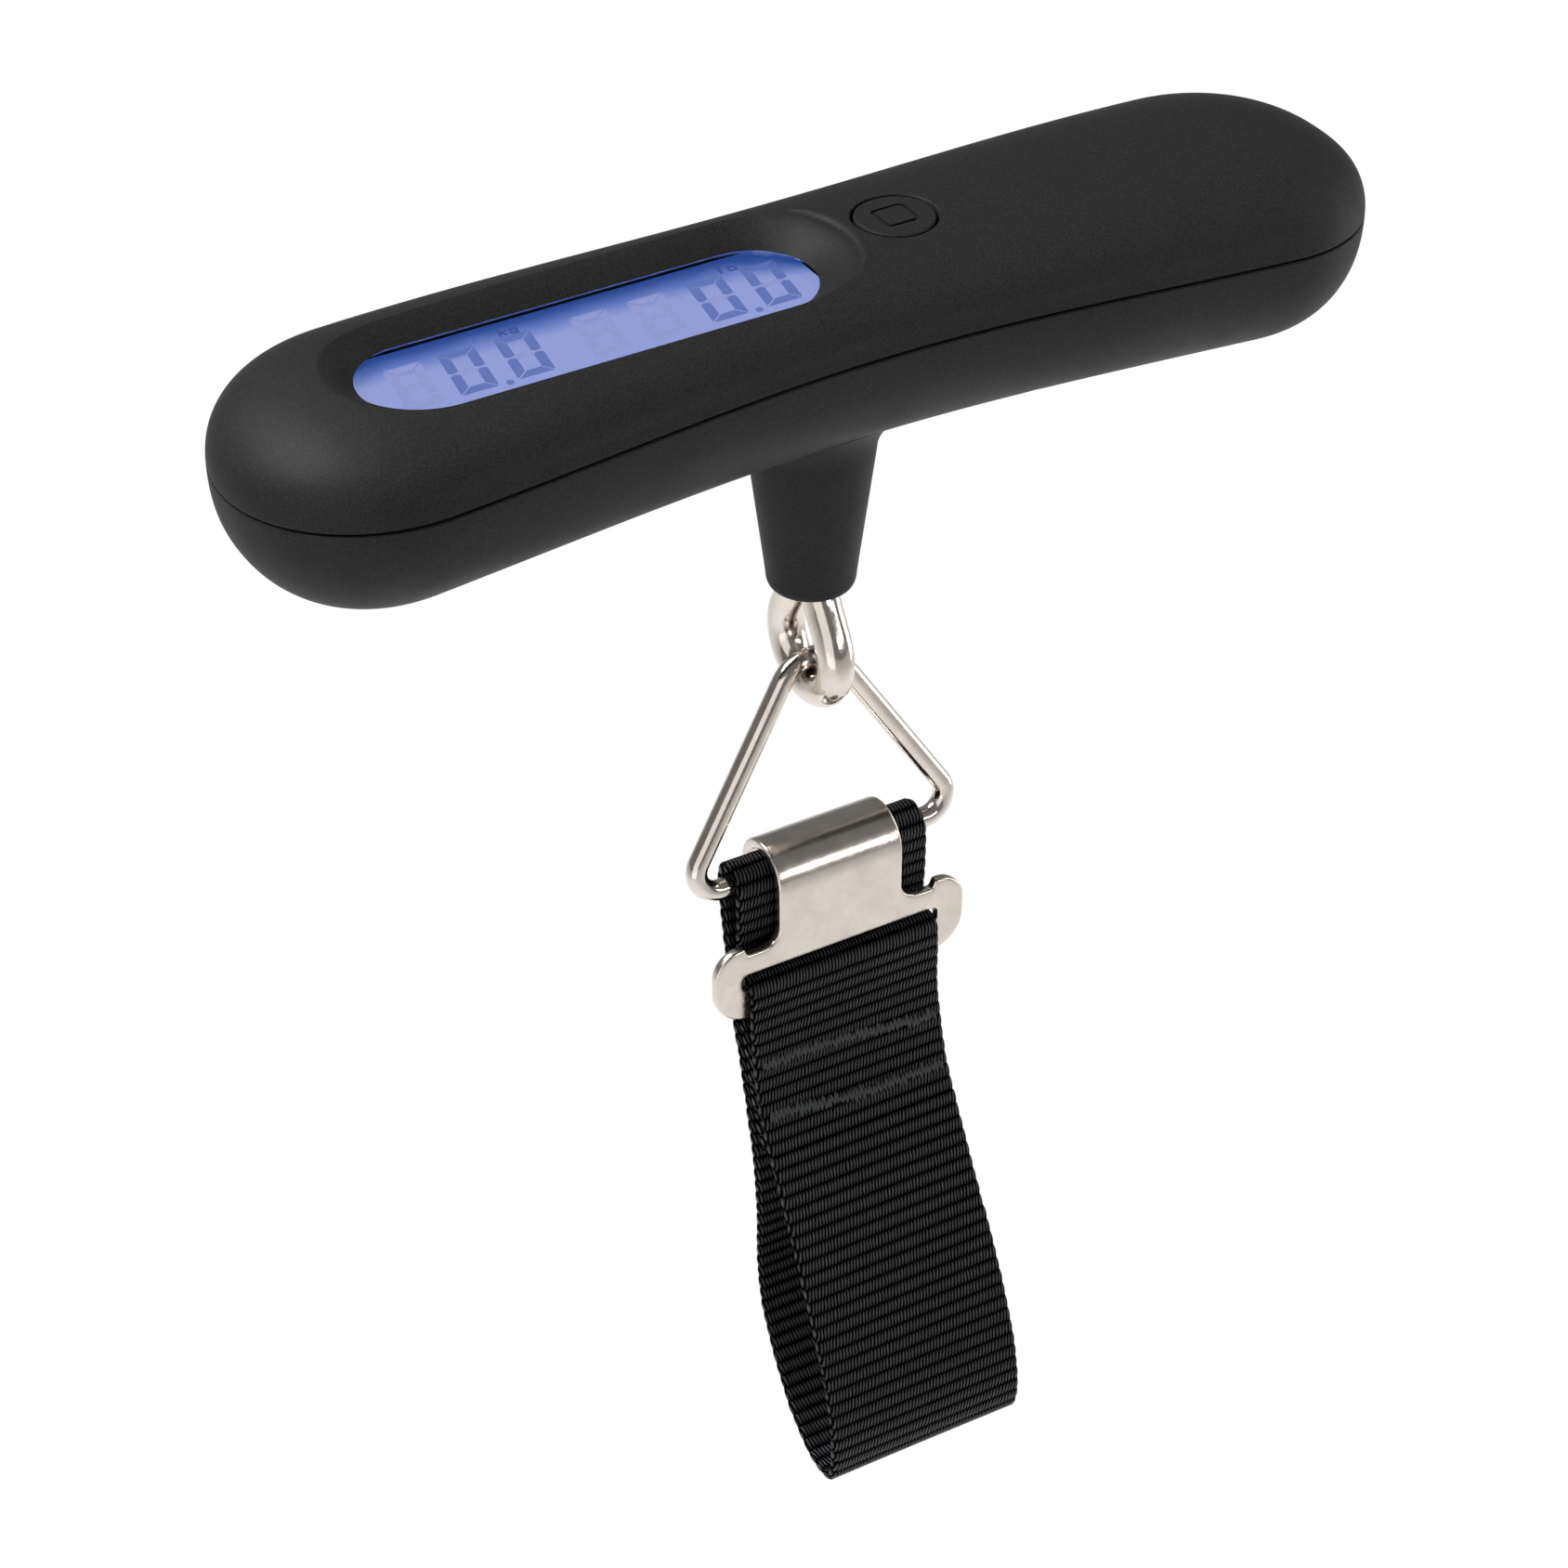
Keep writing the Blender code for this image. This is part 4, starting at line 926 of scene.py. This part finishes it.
def eye_link(look):
    """A teardrop eye of thick wire, with the fine line of its forming die down one limb."""
    sides, limb_steps = 48, 30
    limb = smooth_path([(-1.5 * MM, -34.3 * MM, -90), (-LINK_LOOP_RADIUS, LINK_CENTRE_Z, -90)], limb_steps)
    bottom = arc((0, LINK_CENTRE_Z), LINK_LOOP_RADIUS, 180, 360, 60)
    route = limb[:-1] + bottom + [(-y, z) for y, z in limb[:-1]][::-1]
    line_turn, line_end = radians(352), 44

    def die_line(index, turn):
        """Deepest on the +X side of the front limb, fading out before the bend."""
        if not 4 < index < line_end:
            return 0.0
        off = abs((turn - line_turn + pi) % (2 * pi) - pi)
        return 0.07 * MM * max(1 - off / radians(7.5), 0.0) * min((line_end - index) / 10, 1.0)

    link = wire("eye_link_wire", [(0, y, z) for y, z in route], LINK_WIRE, look, sides, False, die_line)
    # The limbs are pressed flat against each other where they run together.
    limb_verts = sides * limb_steps
    seam = 0.03 * MM
    for vert in link.data.vertices:
        if vert.index < limb_verts:
            vert.co.y = min(vert.co.y, -seam)
        elif vert.index >= sides * len(route) - limb_verts:
            vert.co.y = max(vert.co.y, seam)

    def across(u, v, w):
        return (w, u, v)

    half, foot, head = 3.2 * MM, -35.2 * MM, PIN_HEIGHT + 2.7 * MM
    corners = [
        (-half, foot, 1.2 * MM),
        (half, foot, 1.2 * MM),
        (half, head, 2.6 * MM),
        (-half, head, 2.6 * MM),
    ]
    tang = prism("tang", rounded(corners), -1.6 * MM, 1.6 * MM, look, across)
    hole = prism("tang_hole", circle((0, PIN_HEIGHT), 1.2 * MM, 32), -5 * MM, 5 * MM, look, across)
    combine(link, [(tang, "UNION"), (hole, "DIFFERENCE")])
    return dress(link, "link", ["eye_link"], 40)


def ring_route():
    """The triangle's centre line in its own plane: (x, distance below the apex)."""
    height = hypot(BAR_Y, RING_APEX_Z - BAR_Z)
    base = RING_HALF_WIDTH + 0.8 * RING_CORNER_RADIUS
    lean = atan2(base, height)
    for _ in range(8):
        sharp_height = height + RING_APEX_RADIUS * (1 / sin(lean) - 1)
        lean = atan2(base, sharp_height)
    corners = [
        (0, sharp_height - height, RING_APEX_RADIUS),
        (base, -height, RING_CORNER_RADIUS),
        (-base, -height, RING_CORNER_RADIUS),
    ]
    return rounded(corners, 24)


def triangle_ring(look):
    lean = atan2(BAR_Y, RING_APEX_Z - BAR_Z)
    place = Matrix.Translation((0, 0, RING_APEX_Z)) @ Matrix.Rotation(lean, 4, "X")
    route = [place @ Vector((x, 0, z)) for x, z in resampled(ring_route(), 1.2 * MM)]
    ring = wire("triangle_ring_wire", route, RING_WIRE, look)
    return dress(ring, "ring", ["triangle_ring"], 60)


def inside(point, outline):
    x, y = point
    crossings = 0
    for (x0, y0), (x1, y1) in zip(outline, outline[1:] + outline[:1]):
        crossings += (y0 > y) != (y1 > y) and x < (x1 - x0) * (y - y0) / (y1 - y0) + x0
    return crossings % 2 == 1


def clearance(point, outline):
    """Distance from a point to an outline's nearest edge."""
    a = np.array(outline)
    b = np.roll(a, -1, axis=0)
    p = np.array(point)
    d = b - a
    t = np.clip(((p - a) * d).sum(1) / np.maximum((d * d).sum(1), 1e-18), 0, 1)
    return np.sqrt(((a + d * t[:, None] - p) ** 2).sum(1)).min()


def shifted(outline, inward):
    """The outline moved inwards by a small distance, point by point."""
    points = np.array(outline)
    before, after = np.roll(points, 1, axis=0), np.roll(points, -1, axis=0)
    area = (points[:, 0] * after[:, 1] - after[:, 0] * points[:, 1]).sum()
    along = after - before
    along /= np.linalg.norm(along, axis=1)[:, None]
    normal = np.stack([-along[:, 1], along[:, 0]], axis=1) * (1 if area > 0 else -1)
    return [tuple(p) for p in points + normal * inward]


def sheet_metal(name, outline, hole, place, look):
    """A stamped sheet with softened edges. place(u, v, w) bends it, w being the height above its middle."""
    soften, spacing = 0.3 * MM, 0.8 * MM
    half = HOOK_THICKNESS / 2
    turns = [radians(a) for a in (90, 60, 30, 0)]
    layers = [(soften * (1 - cos(a)), half - soften * (1 - sin(a))) for a in turns]
    layers += [(inset, -w) for inset, w in layers[::-1]]
    verts, faces, rims = [], [], []
    for loop, way in ((resampled(outline, spacing), 1), (resampled(hole, spacing), -1)):
        starts = [len(verts) + len(loop) * layer for layer in range(len(layers))]
        for inset, w in layers:
            verts += [place(u, v, w) for u, v in shifted(loop, way * inset)]
        faces += bands(starts, len(loop))
        rims.append((starts, len(loop), shifted(loop, way * layers[0][0])))
    (starts, size, edge), (hole_starts, hole_size, hole_edge) = rims

    def on_sheet(point):
        return inside(point, edge) and not inside(point, hole_edge)

    low, high = np.min(edge, axis=0), np.max(edge, axis=0)
    grid = []
    for u in np.arange(low[0] + spacing / 2, high[0], spacing):
        for v in np.arange(low[1] + spacing / 2, high[1], spacing):
            room = min(clearance((u, v), edge), clearance((u, v), hole_edge))
            if on_sheet((u, v)) and room > 0.45 * spacing:
                grid.append((u, v))
    points = edge + hole_edge + grid
    rings = [(j, (j + 1) % size) for j in range(size)]
    rings += [(size + j, size + (j + 1) % hole_size) for j in range(hole_size)]
    scaled = [Vector((u / MM, v / MM)) for u, v in points]
    flat, _, triangles, *_ = delaunay_2d_cdt(scaled, rings, [], 0, 1e-6)
    if len(flat) != len(points):
        raise RuntimeError("the sheet's outline crosses itself")
    kept = [tri for tri in triangles if on_sheet(sum((flat[i] for i in tri), Vector((0, 0))) * MM / 3)]
    for layer, w in ((0, half), (len(layers) - 1, -half)):
        inner = list(range(len(verts), len(verts) + len(grid)))
        verts += [place(u, v, w) for u, v in grid]
        outer = [starts[layer] + i for i in range(size)] + [hole_starts[layer] + i for i in range(hole_size)]
        numbers = outer + inner
        faces += [tuple(numbers[i] for i in tri) for tri in kept]
    return face_outward(piece(name, verts, faces, look), 1e-8)


def hook_plate(look):
    """The stamped plate. v is 0 at the free end of the curl and falls down the sheet, flat past the curl."""
    middle = CURL_INNER_RADIUS + HOOK_THICKNESS / 2
    curl_start = radians(-8)
    curl_length = middle * (pi - curl_start)

    def place(u, v, w):
        run = -v
        if run < curl_length:
            turn = curl_start + run / middle
            return (u, CURL_CENTRE[0] + (middle + w) * cos(turn), CURL_CENTRE[1] + (middle + w) * sin(turn))
        return (u, PLATE_Y - w, CURL_CENTRE[1] - (run - curl_length))

    def at(z):
        return -(curl_length + CURL_CENTRE[1] - z)

    right = [
        (CURL_HALF_WIDTH, 0, 0.5 * MM),
        (CURL_HALF_WIDTH, at(SHOULDER_Z), 2.2 * MM),
        (12.3 * MM, at(SHOULDER_Z), 0.3 * MM),
        (12.7 * MM, at(SHOULDER_Z + MM), 0.45 * MM),
        (EAR_HALF_WIDTH, at(SHOULDER_Z + MM), 3.4 * MM),
        (EAR_HALF_WIDTH, at(PLATE_BOTTOM), 4.4 * MM),
    ]
    left = [(-u, v, r) for u, v, r in right][::-1]
    slot = box_outline((-SLOT_HALF_WIDTH, SLOT_HALF_WIDTH), (at(SLOT_Z[0]), at(SLOT_Z[1])), 0.6 * MM, 4)
    plate = sheet_metal("hook_plate_stamping", rounded(right + left, 10), slot, place, look)
    return dress(plate, "hook", ["hook_plate"], 40)


# ---------------------------------------------------------------- the webbing


def loop_path():
    """The loop's middle line in side view: round the bar, down the back and up the front to the seam."""
    end = [(BAR_Y - WRAP_RADIUS + 0.3 * MM, -80.6 * MM), (BAR_Y - WRAP_RADIUS, -76 * MM)]
    wrap = end + arc((BAR_Y, BAR_Z), WRAP_RADIUS, 180, 0, 60)
    fall = [
        (BAR_Y + WRAP_RADIUS, BAR_Z, -92),
        (-3.5 * MM, -88 * MM, -98),
        (-5.3 * MM, -95 * MM, -104),
        (-9.2 * MM, -115 * MM, -93),
        (-10.6 * MM, -130 * MM, -112),
        (-22.0 * MM, -143.8 * MM, -152),
        (-25.8 * MM, -144.3 * MM, -187),
        (-27.5 * MM, -141.0 * MM, -266),
        (-25.0 * MM, -129.0 * MM, -292),
        (-12.40 * MM, SEAM_Z - 0.05 * MM, -298),
    ]
    return wrap[:-1] + smooth_path(fall)


def fold_path():
    """The sewn end's middle line in side view: up the front, through the slot and down behind."""
    rise = [(-12.35 * MM, SEAM_Z, 62), (-9.65 * MM, -98 * MM, 75), (PLATE_Y - FOLD_RADIUS, -88 * MM, 90)]
    fold = arc((PLATE_Y, SLOT_Z[0] - 0.6 * MM), FOLD_RADIUS, 180, 0, 36)
    tail = [
        (PLATE_Y + FOLD_RADIUS, -87.2 * MM, -93),
        (-6.7 * MM, -92.4 * MM, -106),
        (-8.1 * MM, -98.2 * MM, -106),
        (-10.95 * MM, SEAM_Z - 0.3 * MM, -117),
    ]
    return smooth_path(rise) + fold + smooth_path(tail)


def twist(y, z, across):
    """How far the strap's right-hand edge is carried forward and up, more towards the bottom of the loop."""
    share = min(max((-z - 108 * MM) / (34 * MM), 0.0), 1.0)
    front = min(max((-y - 10 * MM) / (12 * MM), 0.0), 1.0)
    carry = 0.9 * MM * share * front * across / WEBBING_HALF_WIDTH
    return -carry, carry


def strap(name, path, look, seed, seam_last):
    """Ribbed webbing along a path in side view, with rounded edges that bulge at each rib."""
    points = np.array(path)
    keep = [0] + [i for i in range(1, len(points)) if np.linalg.norm(points[i] - points[i - 1]) > 1e-7]
    points = points[keep]
    run = np.concatenate([[0], np.cumsum(np.linalg.norm(np.diff(points, axis=0), axis=1))])
    count = int(run[-1] / (RIB_PITCH / 8))
    u = np.linspace(0, run[-1], count)
    y, z = np.interp(u, run, points[:, 0]), np.interp(u, run, points[:, 1])
    soften = np.ones(5) / 5
    dy, dz = np.gradient(y, u), np.gradient(z, u)
    for _ in range(2):
        dy[2:-2], dz[2:-2] = np.convolve(dy, soften, "valid"), np.convolve(dz, soften, "valid")
    size = np.hypot(dy, dz)
    dy, dz = dy / size, dz / size
    random = np.random.default_rng(seed)
    phase = u + (-run[-1] if seam_last else 0.0) % RIB_PITCH  # a groove falls on the seam
    rib = np.abs(np.sin(pi * phase / RIB_PITCH)) ** 0.75
    rib_number = np.floor(phase / RIB_PITCH).astype(int)
    rib_level = 1 + random.normal(0, 0.12, rib_number.max() + 1)[rib_number]
    edge_level = random.normal(0, 0.05 * MM, rib_number.max() + 1)[rib_number]
    wave = np.zeros(count)
    for period in (9.0, 17.0, 31.0):
        wave += random.normal(0, 0.05 * MM) * np.sin(2 * pi * u / (period * MM) + random.uniform(0, 2 * pi))
    base = WEBBING_THICKNESS / 2 - RIB_HEIGHT
    corner = 0.42 * MM
    half = WEBBING_HALF_WIDTH - 0.15 * MM
    rings, weave = [], []
    for i in range(count):
        thick = base + RIB_HEIGHT * rib[i] * rib_level[i]
        width = half + 0.12 * MM * rib[i] + edge_level[i] * 0.5
        outline = []  # (across, lift off the middle line)
        for way in (1, -1):
            for f in way * np.linspace(-1, 1, 56):
                cup = 0.04 * MM * (1 - f * f)
                outline.append((f * (width - corner), way * thick + wave[i] * (1 - 0.3 * f) - cup))
            for a in (-60, -30, 0, 30, 60):
                bulge = heading(a) * way
                outline.append((way * (width - corner) + corner * bulge.x, -thick * bulge.y))
        ring = []
        for v, lift in outline:
            forward, rise = twist(y[i], z[i], v)
            ring.append((v, y[i] - dz[i] * lift + forward, z[i] + dy[i] * lift + rise))
            weave.append((phase[i] / MM, v / MM, 0.0))
        rings.append(ring)
    obj = loft(name, rings, look)
    attribute = obj.data.attributes.new("weave", "FLOAT_VECTOR", "POINT")
    attribute.data.foreach_set("vector", np.array(weave, np.float32).ravel())
    obj.data.shade_smooth()
    return obj, float(run[-1])


def stitches(look):
    """Two bars of dense zigzag across the sewn end, tilted a little as sewn by hand."""
    random = np.random.default_rng(7)
    path = np.array(fold_path())
    front_end = int(np.argmax(path[:, 1] > -88 * MM))
    depths, heights = path[: front_end + 1].T
    half_row, half_tall, count = 11.6 * MM, 0.62 * MM, 84
    radius = 0.17 * MM

    def front(z):
        """A place on the middle of the front layer at height z, and the way out of it."""
        y = np.interp(z, heights, depths)
        step = 0.3 * MM
        slope = (np.interp(z + step, heights, depths) - y) / step
        return Vector((0, y, z)), Vector((0, -1, slope)).normalized()

    made = []
    for row, (left, right) in enumerate(((-93.5 * MM, -94.6 * MM), (-100.3 * MM, -101.4 * MM))):
        points = []
        for n in range(count):
            share = n / (count - 1)
            bow = 0.35 * MM * sin(5.0 * share + 2.0 * row)
            z = left + (right - left) * share + bow + (half_tall if n % 2 else -half_tall)
            z += random.normal(0, 0.18 * MM)
            place, out = front(z)
            lift = WEBBING_THICKNESS / 2 + random.uniform(0.0, 0.10) * MM
            x = half_row * (2 * share - 1) + random.normal(0, 0.05 * MM)
            points.append(place + Vector((x, 0, 0)) + out * lift)
        dense = []
        for a, b in zip(points, points[1:]):
            for s in (0.0, 0.25, 0.5, 0.75):
                _, out = front(a.z + (b.z - a.z) * s)
                hump = 4 * s * (1 - s) * 0.12 * MM - 0.10 * MM
                dense.append(a.lerp(b, s) + out * hump)
        rings = []
        for before, here, after in zip(dense, dense[1:], dense[2:]):
            tangent = (after - before).normalized()
            side = tangent.cross(front(here.z)[1]).normalized()
            up = side.cross(tangent).normalized()
            turns = np.linspace(0, 2 * pi, 9)[:-1]
            rings.append([tuple(here + (side * cos(t) + up * sin(t)) * radius) for t in turns])
        bar = loft(f"bartack_{row + 1}", rings, look)
        made.append(dress(bar, "hook", (), 60))
    return made


def webbing_pieces(look):
    """The loop, which is put on no body, and the sewn end with its stitches, which move with the plate."""
    loop, length = strap("webbing_strap", loop_path(), look, 3, True)
    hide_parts("webbing_loop")
    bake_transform(loop)
    fold, fold_length = strap("webbing_sewn_end", fold_path(), look, 4, False)
    dress(fold, "hook", ["webbing_fold"])
    bars = stitches(thread())


# ---------------------------------------------------------------- carried-over CAD nodes


def paint(looks):
    """Gives each CAD node that stays visible a finished material."""
    for name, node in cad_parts.items():
        if node.hide_render:
            continue
        look = next((look for key, look in looks.items() if name.startswith(key)), looks["default"])
        node.data.materials.clear()
        node.data.materials.append(look)


# ---------------------------------------------------------------- stage


def by_ray(tree, other, seen):
    """A shader that the camera sees as one thing and that lights the scene as another."""
    ray = tree.nodes.new("ShaderNodeLightPath")
    mix = tree.nodes.new("ShaderNodeMixShader")
    tree.links.new(ray.outputs["Is Camera Ray"], mix.inputs["Fac"])
    tree.links.new(other, mix.inputs[1])
    tree.links.new(seen, mix.inputs[2])
    return mix.outputs["Shader"]


def stage():
    """A pale floor well below the hanging scale, open from underneath."""
    size, level = 6.0, -0.62
    look = Look("pale_floor", (0.7, 0.7, 0.7), 0.8)
    look.set("Emission Color", (1.0, 1.0, 1.0, 1.0))
    look.set("Emission Strength", 0.42)
    white = look.node("ShaderNodeEmission")
    above = by_ray(look.tree, look.shader.outputs["BSDF"], white.outputs["Emission"])
    below = look.node("ShaderNodeBsdfTransparent")
    side = look.node("ShaderNodeNewGeometry")
    mix = look.node("ShaderNodeMixShader")
    look.link(side.outputs["Backfacing"], mix, "Fac")
    look.link(above, mix.inputs[1])
    look.link(below.outputs["BSDF"], mix.inputs[2])
    look.link(mix.outputs["Shader"], look.tree.nodes["Material Output"], "Surface")
    corners = [(-size, -size, level), (size, -size, level), (size, size, level), (-size, size, level)]
    piece("floor", corners, [(0, 1, 2, 3)], look.material)


def area_light(name, place, size, power):
    """A rectangular softbox aimed at the middle of the scale."""
    light = bpy.data.lights.new(name, "AREA")
    light.shape = "RECTANGLE"
    light.size, light.size_y = size
    light.energy = power
    lamp = bpy.data.objects.new(name, light)
    PARTS.objects.link(lamp)
    lamp.location = place
    lamp.rotation_euler = (Vector((0, 0, -0.05)) - Vector(place)).to_track_quat("-Z", "Y").to_euler()


def lighting():
    world = bpy.data.worlds.new("studio")
    bpy.context.scene.world = world
    world.use_nodes = True
    tree = world.node_tree
    bright = tree.nodes["Background"]
    dim = tree.nodes.new("ShaderNodeBackground")
    for background, strength in ((bright, 1.0), (dim, 0.19)):
        background.inputs["Color"].default_value = (1.0, 1.0, 1.0, 1.0)
        background.inputs["Strength"].default_value = strength
    sky = by_ray(tree, dim.outputs["Background"], bright.outputs["Background"])
    tree.links.new(sky, tree.nodes["World Output"].inputs["Surface"])
    area_light("key", (-0.50, 0.35, 0.80), (0.8, 0.5), 17.0)
    area_light("front_left", (-0.95, -0.70, 0.05), (1.0, 1.2), 3.6)
    area_light("right", (0.95, -0.10, 0.10), (0.5, 1.1), 3.6)
    area_light("strip", (0.42, -0.88, 0.24), (0.75, 0.10), 2.8)


def camera():
    data = bpy.data.cameras.new("camera")
    data.sensor_width = 36
    data.lens = 95.81
    data.clip_start, data.clip_end = 0.01, 50
    cam = bpy.data.objects.new("camera", data)
    PARTS.objects.link(cam)
    right = Vector((0.86314, -0.50497, 0.0))
    up = Vector((0.29829, 0.50987, 0.80690))
    forward = Vector((0.40746, 0.69646, -0.59071))
    turn = Matrix((right, up, -forward)).transposed()
    cam.matrix_world = Matrix.Translation((-0.19514, -0.32770, 0.21585)) @ turn.to_4x4()
    bpy.context.scene.camera = cam


# ---------------------------------------------------------------- the whole


camera()
stage()
lighting()
bpy.context.scene.view_settings.view_transform = "Standard"

coating = soft_touch()
wire_nickel = nickel()
sheet_nickel = nickel("nickel_sheet", 1.0)
upper_shell(coating)
lower_shell(coating)
battery_door(coating)
button_cap(coating)
display()
eye_link(wire_nickel)
triangle_ring(wire_nickel)
hook_plate(sheet_nickel)
webbing_pieces(webbing())

black = moulded_plastic("black_plastic", (0.02, 0.02, 0.02))
paint(
    {
        "display_window": lens(),
        "lcd_glass": display_glow(),
        "lcd_backlight": moulded_plastic("light_guide", (0.7, 0.75, 0.9), 0.35),
        "elastomer": moulded_plastic("grey_elastomer", (0.15, 0.15, 0.16), 0.7),
        "circuit_board": circuit_green(),
        "tact_switch": black,
        "controller_chip": black,
        "switch_plunger": black,
        "battery_holder": black,
        "load_cell_beam": brushed("aluminium", (0.6, 0.61, 0.62), 0.36),
        "strain_gauge": brushed("gauge_foil", (0.75, 0.45, 0.2), 0.4),
        "battery_contact": wire_nickel,
        "default": brushed("plain_steel", (0.5, 0.5, 0.5), 0.34),
    }
)
